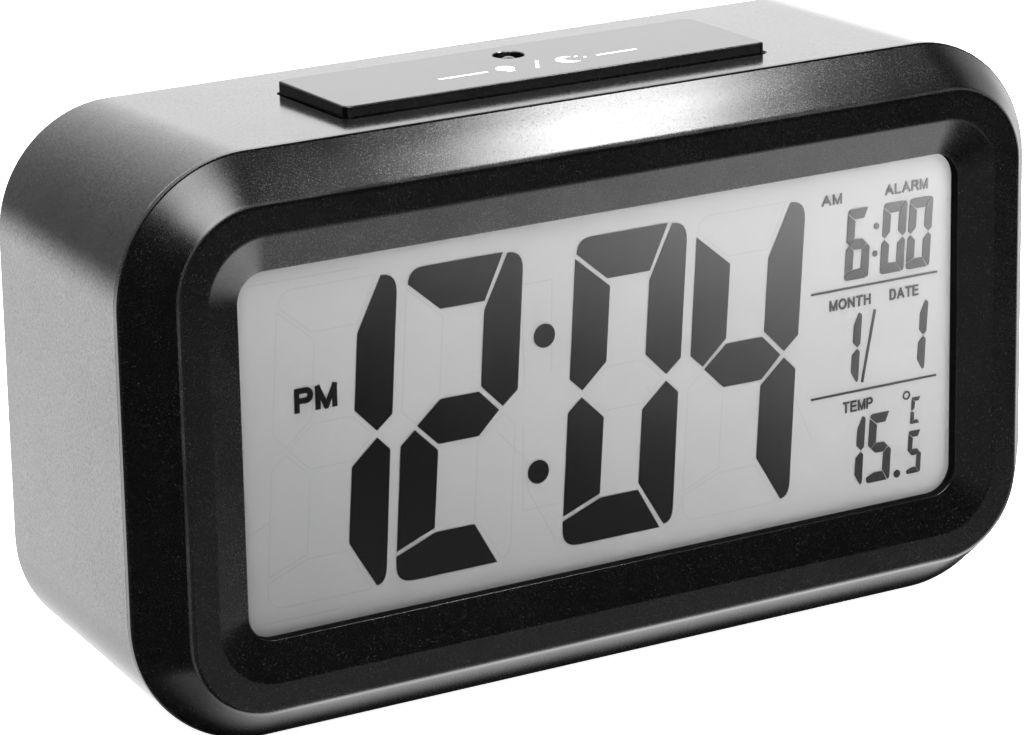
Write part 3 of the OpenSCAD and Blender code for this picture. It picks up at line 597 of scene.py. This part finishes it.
panel = mesh_object("display_panel", frames(soften([
    face(0, GROUND_Y, GLASS_X - 0.1, GLASS_Z - 0.1, 0.3), face(0.08, GROUND_Y, GLASS_X, GLASS_Z, 0.3),
    face(0, 4.3, GLASS_X, GLASS_Z, 0.3)]), steps=4))
dress(panel, "case", MATS["ground"], ["lcd_front_glass"], weighted=False)

window = mesh_object("window_pane", frames([face(0, 2.35, WIN_X + 0.3, WIN_Z + 0.3, WIN_R + 0.3)[1:],
                                            face(0, 3.15, WIN_X + 0.3, WIN_Z + 0.3, WIN_R + 0.3)[1:]], steps=16))
dress(window, "case", MATS["window"], ["lens_window"])

gasket = mesh_object("window_gasket", frames([face(0, y, WIN_X + g, WIN_Z + g, WIN_R + g)[1:] for y, g in (
    (1.84, 0.0), (1.84, 0.2), (3.2, 0.2), (3.2, -0.06), (1.92, -0.06))], steps=16), cyclic=True)
dress(gasket, "case", MATS["gasket"], weighted=False)

# ---- Rear housing ----


def skin(bend, y, inset, lean):
    edge = LIP_STEP + inset
    return (bend, y, MID_X - edge - SIDE_DRAFT * lean, edge + BOTTOM_DRAFT * lean,
            HEIGHT - edge - TOP_DRAFT * lean, CORNER_R - edge - 1.9 * lean)


def slab(y0, y1, half_w, low, high, r, x=0.0, steps=8):
    return frames([(y0, half_w, low, high, r), (y1, half_w, low, high, r)], x, steps)


def rim_cut(y0, y1, half_w, low, high, r, x=0.0, edge=0.2, steps=8, surface=None):
    """Cutter that opens out by a small chamfer at the surface."""
    top = y1 if surface is None else surface
    return frames([(y0, half_w, low, high, r), (top - edge, half_w, low, high, r),
                   (top + 0.3, half_w + edge + 0.3, low - edge - 0.3, high + edge + 0.3, r + edge + 0.3)], x, steps)


def rod(x, z, y0, y1, r, steps=24, edge=0.0):
    profile = [(y0, r), (y1, r)] if not edge else [(y0, r), (y1 - edge, r), (y1 + 0.3, r + edge + 0.3)]
    return lathe((x, 0, z), (0, 1, 0), profile, steps)


# The back edge is a quarter round, as (distance before the back, inset), both shares of its radius
BACK_ROUND = (1, 0), (0.74, 0.034), (0.5, 0.134), (0.29, 0.29), (0.134, 0.5), (0.034, 0.74), (0, 1)
shell_path = [skin(0, JOINT_Y + 0.25, 0.12, 0), skin(0, JOINT_Y + 0.37, 0, 0)]
shell_path += [skin(0, DEPTH - BACK_R * ahead, BACK_R * inset, 1) for ahead, inset in BACK_ROUND]
shell = mesh_object("housing_shell", frames(soften(shell_path), steps=32, extra=BESIDE_ARCS))
merge(shell, "DIFFERENCE", frames([skin(0, JOINT_Y - 1, WALL, 0)[1:], skin(0, JOINT_Y + 0.25, WALL, 0)[1:],
                                   skin(0, DEPTH - WALL, WALL, 1)[1:]], steps=32))
BAT_X, BAT_LOW, BAT_HIGH = 25.0, 9.0, 43.0
BUZZER_X, BUZZER_Z = -42.5, 27
GRILLE_X, GRILLE_Z, GRILLE_PITCH = 43, 27, 3.2
KEY_POST_X, KEY_POST_Z = 37.5, 64
BAR_POST_X, BAR_POST_Y = 37, BAR_Y + 0.5
adds = [slab(40.8, DEPTH - 0.5, 55, 48, 70, 4),
        box_rings((-BAT_X - 1.4, 29.6, BAT_LOW - 1.4), (BAT_X + 1.4, DEPTH - 0.5, BAT_HIGH + 1.4)),
        slab(DEPTH - 3.4, DEPTH - 0.5, 30, 6, 47.8, 1)]
for sx in (-1, 1):
    adds += [rod(sx * POST_X, MID_Z + sz * POST_Z, 14, DEPTH - 0.5, 3.4) for sz in (-1, 1)]
    adds.append(rod(sx * KEY_POST_X, KEY_POST_Z, 34, 41.8, 1.9))
    adds.append(lathe((sx * BAR_POST_X, BAR_POST_Y, 0), (0, 0, 1), [(63.1, 2.3), (HEIGHT - 1.2, 2.3)], 24))
    adds += [lathe((sx * FOOT_X, y, 0), (0, 0, 1), [(0, 5.2), (5.5, 5.2)]) for y in FOOT_YS]
adds.append(rod(BUZZER_X, BUZZER_Z, 40, 43, 11.3, 48))
merge(shell, "UNION", *adds)
LATCH_X, DOOR_X, DOOR_LOW, DOOR_HIGH = 5.0, 27.6, 7.2, 44.8
opening = BAR_LEN / 2 + 0.3, BAR_DEP / 2 + 0.3
cuts = [tiles([(HEIGHT - 9, *opening, 1.3), (HEIGHT - 0.5, *opening, 1.3),
               (HEIGHT + 0.5, opening[0] + 1, opening[1] + 1, 2.3)], 0, BAR_Y),
        rim_cut(PANEL_Y, DEPTH, 53, 50, 68.5, 3, edge=0.35, steps=16),
        box_rings((-BAT_X, 31, BAT_LOW), (BAT_X, DEPTH + 1, BAT_HIGH)),
        rim_cut(DEPTH - 2.1, DEPTH, DOOR_X + 0.3, DOOR_LOW - 0.3, DOOR_HIGH + 0.3, 0.8, edge=0.15),
        box_rings((-LATCH_X - 0.3, DEPTH - 2.1, DOOR_HIGH), (LATCH_X + 0.3, DEPTH + 1, DOOR_HIGH + 1.9)),
        lathe((-29.2, DEPTH - 1, DOOR_LOW + 1), (1, 0, 0), [(0, 0.75), (58.4, 0.75)], 20),
        rod(BUZZER_X, BUZZER_Z, 39, 41.2, 10.1, 48), rod(BUZZER_X, BUZZER_Z, 41, 42.4, 8.6, 48),
        rod(BUZZER_X, BUZZER_Z, 41, DEPTH, 0.9, 20, 0.15)]
for i in range(-2, 3):
    cuts.append(rim_cut(39.8, PANEL_Y, 4.8, CONTROL_Z - 3, CONTROL_Z + 3, 2.98, i * KEY_PITCH, 0.25, 12))
    slit_z = GRILLE_Z + GRILLE_PITCH * i
    cuts.append(rim_cut(41, DEPTH, 6, slit_z - 0.7, slit_z + 0.7, 0.65, GRILLE_X, 0.15, 6))
for i in range(8):
    a = math.radians(45 * i)
    cuts.append(rod(BUZZER_X + 4 * math.cos(a), BUZZER_Z + 4 * math.sin(a), 41, DEPTH, 0.9, 20, 0.15))
for sx in (-1, 1):
    cuts.append(rim_cut(39.8, PANEL_Y, 4.5, CONTROL_Z - 1.6, CONTROL_Z + 1.6, 0.3, sx * SLIDER_X, 0.2, 4))
    cuts.append(rod(sx * KEY_POST_X, KEY_POST_Z, 33, 40.8, 0.9, 16))
    cuts.append(lathe((sx * BAR_POST_X, BAR_POST_Y, 0), (0, 0, 1), [(62, 0.9), (69.5, 0.9)], 16))
    for sz in (-1, 1):
        cuts.append(rod(sx * POST_X, MID_Z + sz * POST_Z, 20, DEPTH, 2.95, 32, 0.3))
        cuts.append(rod(sx * POST_X, MID_Z + sz * POST_Z, 13, 21, 1.8))
    for y in FOOT_YS:
        cuts.append(lathe((sx * FOOT_X, y, 0), (0, 0, 1), [(-1, 4.1), (0.6, 4.1)]))
merge(shell, "DIFFERENCE", *cuts)
dress(shell, "case", MATS["case"], ["rear_housing"])

# ---- Snooze bar ----
half_l, half_d = BAR_LEN / 2, BAR_DEP / 2
TOP = BAR_TOP - 0.02
bar_path = soften([(0, BAR_FLANGE - 1.3, half_l + 1.6, half_d + 1.1, 1.5),
                   (0.2, BAR_FLANGE, half_l + 1.6, half_d + 1.1, 1.5), (0.15, BAR_FLANGE, half_l, half_d, 1),
                   (0.3, TOP, half_l, half_d, 1), (0, TOP, half_l - 0.7, half_d - 0.7, 0.6)])
bar = mesh_object("bar_cap", tiles(bar_path, 0, BAR_Y, 16))
merge(bar, "DIFFERENCE", tiles([(z, half_l - 1.6, half_d - 1.6, 0.8) for z in (69.6, BAR_ROOF)], 0, BAR_Y, 8))
merge(bar, "UNION", lathe((0, 20, 0), (0, 0, 1), [(67.6, 1.8), (BAR_ROOF + 0.5, 1.8)], 24))
merge(bar, "DIFFERENCE", lathe((0, LENS_Y, 0), (0, 0, 1), [
    (70, LENS_R + 0.05), (TOP - 0.5, LENS_R + 0.05), (TOP - 0.5, LENS_R + 0.4), (TOP - 0.12, LENS_R + 0.4),
    (TOP + 0.3, LENS_R + 0.82)], 48))
dress(bar, "snooze_key", MATS["bar"], ["snooze_bar"])

dome = mesh_object("lens_dome", lathe((0, LENS_Y, 0), (0, 0, 1), [
    (BAR_ROOF - 0.7, LENS_R + 0.5), (BAR_ROOF - 0.08, LENS_R + 0.6), (BAR_ROOF, LENS_R + 0.5),
    (BAR_ROOF + 0.04, LENS_R), (75.7, 1.7), (75.78, 1.6), (75.78, 1.3), (76.05, 1.2), (76.3, 0.95),
    (76.46, 0.65), (76.54, 0.35), (76.56, 0.12), (76.56, 0.02)], 40))
dress(dome, "snooze_key", MATS["dome"], ["sensor_lens"])

# ---- Printed pictograms: light and rest on the bar, one sign for each control on the panel ----
PRINT_T = 0.015
BAR_SIGN_Y = 20.15


def on_bar(bm, points, cx, cy):
    add_rings(bm, [[place(px + cx, py + cy, TOP + t) for px, py in points] for t in (-0.03, PRINT_T)])


def on_panel(bm, points, cx, cz):
    plate(bm, points, PANEL_Y - 0.03, 0.03 + PRINT_T, cx, cz - MID_Z)


def sun_parts(r):
    parts = [disc(r * 0.42)]
    for i in range(8):
        a = math.pi * i / 4
        parts.append(bar_line(r * 0.64 * math.cos(a), r * 0.64 * math.sin(a), r * math.cos(a), r * math.sin(a),
                              r * 0.2))
    return parts


def crescent(r, steps=28):
    """Moon open towards +x."""
    tip = math.radians(48)
    cx = r * 0.52
    turn = math.atan2(r * math.sin(tip), r * math.cos(tip) - cx)
    inner = math.hypot(r * math.cos(tip) - cx, r * math.sin(tip))
    out = [tip + (2 * math.pi - 2 * tip) * i / steps for i in range(steps + 1)]
    back = [-turn - (2 * math.pi - 2 * turn) * i / steps for i in range(1, steps)]
    return [(r * math.cos(a), r * math.sin(a)) for a in out] + [
        (cx + inner * math.cos(a), inner * math.sin(a)) for a in back]


def bell_parts(r):
    arch = [(0.62 * r * math.cos(math.pi * i / 14), 0.35 * r + 0.62 * r * math.sin(math.pi * i / 14))
            for i in range(15)]
    return [arch + [(-r, -0.6 * r), (r, -0.6 * r)], [(px, pz - 0.85 * r) for px, pz in disc(r * 0.22)]]


def box_parts(r, width):
    corners = [(-r, -r), (r, -r), (r, r), (-r, r)]
    grow = width / 2
    return [bar_line(a[0] - grow * (a[0] < b[0]) + grow * (a[0] > b[0]), a[1], b[0] + grow * (a[0] < b[0])
                     - grow * (a[0] > b[0]), b[1], width) for a, b in zip(corners, corners[1:] + corners[:1])]


bm = bmesh.new()
for part in (disc(1.25), [(-0.55, -1.75), (0.55, -1.75), (0.55, -0.9), (-0.55, -0.9)]):
    on_bar(bm, part, -4.4, 20.5)
on_bar(bm, bar_line(-0.75, -1.7, 1.15, 1.7, 0.42), 0, BAR_SIGN_Y)
on_bar(bm, crescent(1.7), 4.9, BAR_SIGN_Y)
for px, py in ((6.6, 0.9), (7.5, 0.1)):
    on_bar(bm, disc(0.24, 20), px, BAR_SIGN_Y + py)
for x0, x1 in ((-14.4, -7.2), (9.2, 15.3)):
    on_bar(bm, bar_line(x0, 0, x1, 0, 0.45), 0, BAR_SIGN_Y)
dress(object_from(bm, "bar_signs"), "snooze_key", MATS["ink"], weighted=False)

bm = bmesh.new()
SIGN_Z, MARK_Z = 65.6, 56.4
signs = {-2: [disc(0.95)], -1: box_parts(0.75, 0.3), 0: [[(-1, -0.8), (1, -0.8), (0, 0.95)]],
         1: [[(-1, 0.8), (0, -0.95), (1, 0.8)]], 2: bell_parts(0.95)}
for i, parts in signs.items():
    for part in parts:
        on_panel(bm, part, i * KEY_PITCH, SIGN_Z)
for sx, parts in ((-1, sun_parts(1.1)), (1, bell_parts(0.95))):
    for part in parts:
        on_panel(bm, part, sx * SLIDER_X, SIGN_Z)
    on_panel(bm, disc(0.4, 20), sx * SLIDER_X - 2.6, MARK_Z)
    on_panel(bm, bar_line(0, -0.55, 0, 0.55, 0.28), sx * SLIDER_X + 2.6, MARK_Z)
dress(object_from(bm, "panel_signs"), "case", MATS["ink"], weighted=False)

# ---- Rear controls ----
CAP_W, CAP_H = 4.5, 2.7


def key_ring(bend, y, w, h):
    return (bend, y, w, CONTROL_Z - h, CONTROL_Z + h, h - 0.02)


for i, key in enumerate(("mode", "set", "up", "down", "alarm")):
    x = (i - 2) * KEY_PITCH
    cap = mesh_object(key + "_cap", frames(soften([
        (0, 39.6, CAP_W + 1.2, CONTROL_Z - CAP_H - 1.2, CONTROL_Z + CAP_H + 1.2, 1.5),
        (0.1, 40.6, CAP_W + 1.2, CONTROL_Z - CAP_H - 1.2, CONTROL_Z + CAP_H + 1.2, 1.5),
        key_ring(0.1, 40.6, CAP_W, CAP_H), key_ring(0.45, CAP_OUT - 0.02, CAP_W, CAP_H),
        key_ring(0.5, CAP_OUT - 0.02, CAP_W - 0.9, CAP_H - 0.9),
        key_ring(0.4, CAP_OUT - 0.32, CAP_W - 1.5, CAP_H - 1.5), key_ring(0, CAP_OUT - 0.34, CAP_W - 2.4, 0.3)]),
        x, 12))
    merge(cap, "UNION", rod(x, CONTROL_Z, 38.4, 39.9, 1.5))
    dress(cap, key + "_key", MATS["key"], [key + "_button"])
for name, sx in (("alarm", 1), ("sensor", -1)):
    x = sx * SLIDER_X - SLIDER_TRAVEL / 2
    knob = mesh_object(name + "_knob", frames(soften([
        (0, 41.9, 2.6, CONTROL_Z - 1.3, CONTROL_Z + 1.3, 0.3),
        (0.25, CAP_OUT - 0.22, 2.6, CONTROL_Z - 1.3, CONTROL_Z + 1.3, 0.3),
        (0, CAP_OUT - 0.22, 2.1, CONTROL_Z - 0.9, CONTROL_Z + 0.9, 0.2)]), x, 5))
    merge(knob, "UNION", box_rings((x - 1.5, 35.6, CONTROL_Z - 1.1), (x + 1.5, 42.2, CONTROL_Z + 1.1)))
    merge(knob, "DIFFERENCE", *[frames([(CAP_OUT - 0.75, 0.12, CONTROL_Z - 2, CONTROL_Z + 2, 0.05),
                                        (CAP_OUT + 0.1, 0.38, CONTROL_Z - 2, CONTROL_Z + 2, 0.05)], x + k, 3)
                                for k in (-1.5, -0.5, 0.5, 1.5)])
    dress(knob, name + "_switch", MATS["key"], [name + "_slider"])

# ---- Battery door ----
HINGE_Z, HINGE_R = DOOR_LOW + 1, 1.0
curl = [(DEPTH - HINGE_R - HINGE_R * math.cos(a), HINGE_Z - HINGE_R * math.sin(a))
        for a in (math.pi * i / 12 for i in range(13))]
EASE = {0: 0.2, 1: 0.03, 11: 0.03, 12: 0.2}   # how far each ring stays back from the door's outline
door = mesh_object("battery_door_shell", frames([
    (y, DOOR_X - EASE.get(i, 0), low, DOOR_HIGH - EASE.get(i, 0), 0.5) for i, (y, low) in enumerate(curl)],
    steps=8))
merge(door, "UNION",
      slab(DEPTH - 2, DEPTH - 0.6, LATCH_X, DOOR_HIGH - 1, DOOR_HIGH + 1.6, 0.4),
      lathe((-29, DEPTH - 1, HINGE_Z), (1, 0, 0), [(0, 0.55), (0.15, 0.7), (57.85, 0.7), (58, 0.55)], 20))
slots = [slab(DEPTH - 3, DEPTH + 1, 0.4, DOOR_HIGH - 5, DOOR_HIGH + 1, 0.39, sx * (LATCH_X + 0.4))
         for sx in (-1, 1)]
GRIP_LOW, GRIP_T, GRIP_PITCH = DOOR_HIGH - 4.6, 0.5, 1.1
grips = [rim_cut(DEPTH - 0.4, DEPTH, LATCH_X - 1, GRIP_LOW + GRIP_PITCH * k, GRIP_LOW + GRIP_T + GRIP_PITCH * k,
                 0.2, 0, 0.1, 4) for k in range(4)]
ARROW = (-2.2, 1.3), (0, -1.6), (2.2, 1.3)
arrow = [[place(px, y, DOOR_HIGH - 9 + pz) for px, pz in ARROW] for y in (DEPTH - 0.35, DEPTH + 1)]
merge(door, "DIFFERENCE", *slots, *grips, arrow)
dress(door, "battery_cover", MATS["door"], ["battery_door"])
bm = bmesh.new()
plate(bm, [(px * 0.85, pz * 0.85) for px, pz in ARROW], DEPTH - 0.36, 0.03, 0, DOOR_HIGH - 9 - MID_Z)
dress(object_from(bm, "door_sign"), "battery_cover", MATS["ink"], weighted=False)

# ---- Feet ----
feet = mesh_object("feet", *[lathe((sx * FOOT_X, y, 0), (0, 0, 1), [
    (-FOOT_H, 0.05), (-FOOT_H, 3.2), (-FOOT_H + 0.06, 3.5), (-FOOT_H + 0.2, 3.8), (-FOOT_H + 0.4, 3.96),
    (-FOOT_H + 0.6, 4.0), (0.6, 4.0)], 40) for sx in (-1, 1) for y in FOOT_YS])
dress(feet, "case", MATS["rubber"], ["rubber_feet"])

# ---- Finishes of the CAD pieces that stay ----
KEEP = {
    "glass_back": ["lcd_rear_glass"], "white": ["light_guide", "lcd_frame", "backlight_leds", "mode_plunger",
                                                "set_plunger", "up_plunger", "down_plunger", "alarm_plunger",
                                                "snooze_plunger", "light_sensor"],
    "film": ["reflector"], "zebra": ["zebra_strip"], "board": ["main_board", "button_board", "snooze_board"],
    "chip": ["clock_chip", "switch_bases", "snooze_switch_base"], "tan": ["chip_parts", "thermistor"],
    "steel": ["crystal", "main_board_screws", "case_screws", "button_board_screws", "slide_switch_bases",
              "snooze_board_screws", "battery_springs", "battery_plates", "snooze_springs"],
    "brass": ["buzzer_disc"], "ribbon": ["ribbon_cables"], "cell": ["battery_cells"],
}
for key, names in KEEP.items():
    for name in names:
        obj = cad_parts[name]
        for held in obj.material_slots:
            held.material = MATS[key]

# ---- Floor, light and camera ----
floor = mesh_object("studio_floor", [[Vector((x, y, z)) for x, y in ((-3, -3), (3, -3), (3, 3), (-3, 3))]
                                     for z in (-0.02, 0.0)])
pale = Shader("floor_pale", Roughness=0.9, Specular_IOR_Level=0.1, Emission_Color=(1, 1, 1, 1),
              Emission_Strength=0.9)
pale.link(pale.grey(pale.fit(pale.noise(3.0), 0.3, 0.7, 0.86, 0.9)), pale.bsdf.inputs["Base Color"])
floor.data.materials.append(pale.mat)
floor.visible_glossy = False

world = bpy.data.worlds.new("studio")
bpy.context.scene.world = world
world.use_nodes = True
tree = world.node_tree
tree.nodes.clear()


def world_node(kind, inputs=(), **settings):
    made = tree.nodes.new(kind)
    for key, value in settings.items():
        setattr(made, key, value)
    for key, value in dict(inputs).items():
        if hasattr(value, "links"):
            tree.links.new(value, made.inputs[key])
        else:
            made.inputs[key].default_value = value
    return made


direction = world_node("ShaderNodeTexCoord").outputs["Generated"]
axes = world_node("ShaderNodeSeparateXYZ", {"Vector": direction}).outputs


def world_fit(value, low, high, to_low, to_high):
    return world_node("ShaderNodeMapRange", {"Value": value, "From Min": low, "From Max": high, "To Min": to_low,
                                             "To Max": to_high}, interpolation_type="SMOOTHSTEP").outputs["Result"]


def world_math(operation, a, b):
    return world_node("ShaderNodeMath", {0: a, 1: b}, operation=operation).outputs[0]


# Behind the clock: a backdrop that brightens to the right and fades at its end, over a bright floor
backdrop = world_math("MULTIPLY", world_fit(axes["X"], -0.72, 0.55, 0.2, 2.6),
                      world_fit(axes["X"], 0.43, 0.56, 1.0, 0.78))
ground = world_math("MULTIPLY", world_fit(axes["Z"], 0.02, -0.25, 0.0, 1.0),
                    world_fit(axes["Z"], -0.6, -0.3, 0.15, 1.0))
ground_level = world_fit(axes["X"], -0.3, 0.3, 3.4, 0.4)
behind = world_math("ADD", world_math("MULTIPLY", backdrop, world_math("SUBTRACT", 1.0, ground)),
                    world_math("MULTIPLY", ground, ground_level))
total = world_math("ADD", world_math("MULTIPLY", behind, world_fit(axes["Y"], 0.35, 0.7, 0.0, 1.0)), 0.03)
# Each card of light: direction, cosine where it starts and where it is full, brightness
CARDS = [
    ((-0.2, -0.36, 0.91), 0.87, 1.0, 15.0),
    ((0.9, 0.4, 0.05), 0.72, 0.95, 1.1),
    ((0.45, -0.75, -0.48), 0.965, 1.0, 0.75),
    ((0.7, -0.38, -0.6), 0.945, 0.99, 3.0),
    ((-0.07, -0.96, -0.25), 0.93, 1.0, 0.35),
    ((0.33, 0.82, -0.47), 0.975, 1.0, 0.35),
    ((0.49, 0.0, -0.87), 0.88, 0.98, 6.5),
]
for axis, start, full, level in CARDS:
    facing = world_node("ShaderNodeVectorMath", {0: direction, 1: Vector(axis).normalized()},
                        operation="DOT_PRODUCT").outputs["Value"]
    total = world_math("ADD", total, world_fit(facing, start, full, 0.0, level))
seen = world_node("ShaderNodeLightPath").outputs["Is Camera Ray"]
shown = world_node("ShaderNodeMix", {"Factor": seen, "A": total, "B": 1.0}, data_type="FLOAT").outputs["Result"]
sky = world_node("ShaderNodeBackground", {"Strength": shown})
tree.links.new(sky.outputs[0], world_node("ShaderNodeOutputWorld").inputs["Surface"])


def softbox(name, where, look, size, power, glossy=True, diffuse=True, only=None):
    data = bpy.data.lights.new(name, "AREA")
    data.shape, data.size, data.size_y, data.energy = "RECTANGLE", size[0], size[1], power
    obj = bpy.data.objects.new(name, data)
    bpy.context.scene.collection.objects.link(obj)
    obj.location = where
    obj.rotation_euler = (Vector(look) - Vector(where)).to_track_quat("-Z", "Y").to_euler()
    obj.visible_glossy, obj.visible_diffuse = glossy, diffuse
    if only:
        obj.light_linking.receiver_collection = only


softbox("overhead", (0, 0, 1.5), (0, 0, 0), (1.2, 1.2), 60, glossy=False)
softbox("front_right", (0.5, -0.9, 0.75), (0, 0, 0.04), (0.5, 0.5), 9, glossy=False)
softbox("front_left", (-0.45, -0.9, 0.45), (0, 0, 0.04), (0.6, 0.6), 5, glossy=False)
softbox("edge_light", (0.088, -0.037, 0.219), (0, -0.019, 0.074), (0.035, 0.035), 0.16, diffuse=False)

# Panels for the back, the top and the sides as seen from behind; nothing else mirrors them
rear = bpy.data.collections.new("rear_faces")
for name in ("housing_shell", "battery_door_shell", "bar_cap", "mode_cap", "set_cap", "up_cap", "down_cap",
             "alarm_cap", "alarm_knob", "sensor_knob"):
    rear.objects.link(bpy.data.objects[name])
AIM = (0, 0, 0.04)
softbox("rear_floor", (1.08, 0.96, -0.38), AIM, (0.75, 0.75), 2, diffuse=False, only=rear)
softbox("left_floor", (-1.05, -1.0, -0.38), AIM, (0.9, 0.9), 1.8, diffuse=False, only=rear)
softbox("right_floor", (1.28, -0.68, -0.33), AIM, (0.9, 0.9), 1.8, diffuse=False, only=rear)
softbox("front_sky", (0, -1.25, 0.5), AIM, (2.6, 0.6), 5, diffuse=False, only=rear)

# What the underside of the frame mirrors: a card seen only in reflections, glowing as a bright floor,
# with a painted contact shadow that darkens it under the clock and to the left
CARD_CORNERS = (-0.075, -0.026), (0.075, -0.026), (0.075, -0.012), (-0.075, -0.012)
card = mesh_object("contact_card", [[Vector((x, y, z)) for x, y in CARD_CORNERS] for z in (0.0001, 0.0002)])
mirror = Shader("painted_floor_glow_and_shadow", Roughness=0.9, Specular_IOR_Level=0.0, Base_Color=(0, 0, 0, 1),
                Emission_Color=(1, 1, 1, 1))
spot = mirror.node("ShaderNodeSeparateXYZ", {"Vector": mirror.coords}).outputs
# Painted contact shadow: the glow fades towards the clock and to the left
level = mirror.math("MULTIPLY", mirror.fit(spot["Y"], -0.0225, -0.0158, 4.6, 0.02, True),
                    mirror.fit(spot["X"], -0.066, -0.038, 0.2, 1.0, True))
mirror.link(mirror.math("MULTIPLY", level, mirror.fit(mirror.noise(40.0), 0.3, 0.7, 0.95, 1.05)),
            mirror.bsdf.inputs["Emission Strength"])
card.data.materials.append(mirror.mat)
card.visible_camera = card.visible_diffuse = card.visible_transmission = card.visible_shadow = False

cam_data = bpy.data.cameras.new("view")
cam_data.lens, cam_data.sensor_width = 161.5, 36
cam_data.clip_start, cam_data.clip_end = 0.01, 20
camera = bpy.data.objects.new("view", cam_data)
bpy.context.scene.collection.objects.link(camera)
YAW, PITCH, ROLL = 0.5364, 0.2933, -0.0192
ahead = Vector((math.sin(YAW) * math.cos(PITCH), math.cos(YAW) * math.cos(PITCH), -math.sin(PITCH)))
right = Vector((math.cos(YAW), -math.sin(YAW), 0))
up = right.cross(ahead)
cam_x = right * math.cos(ROLL) + up * math.sin(ROLL)
cam_y = up * math.cos(ROLL) - right * math.sin(ROLL)
turned = Matrix((cam_x, cam_y, -ahead)).transposed().to_4x4()
camera.matrix_world = Matrix.Translation((-0.2975, -0.4948, 0.2109)) @ turned
bpy.context.scene.camera = camera
bpy.context.scene.view_settings.view_transform = "Standard"
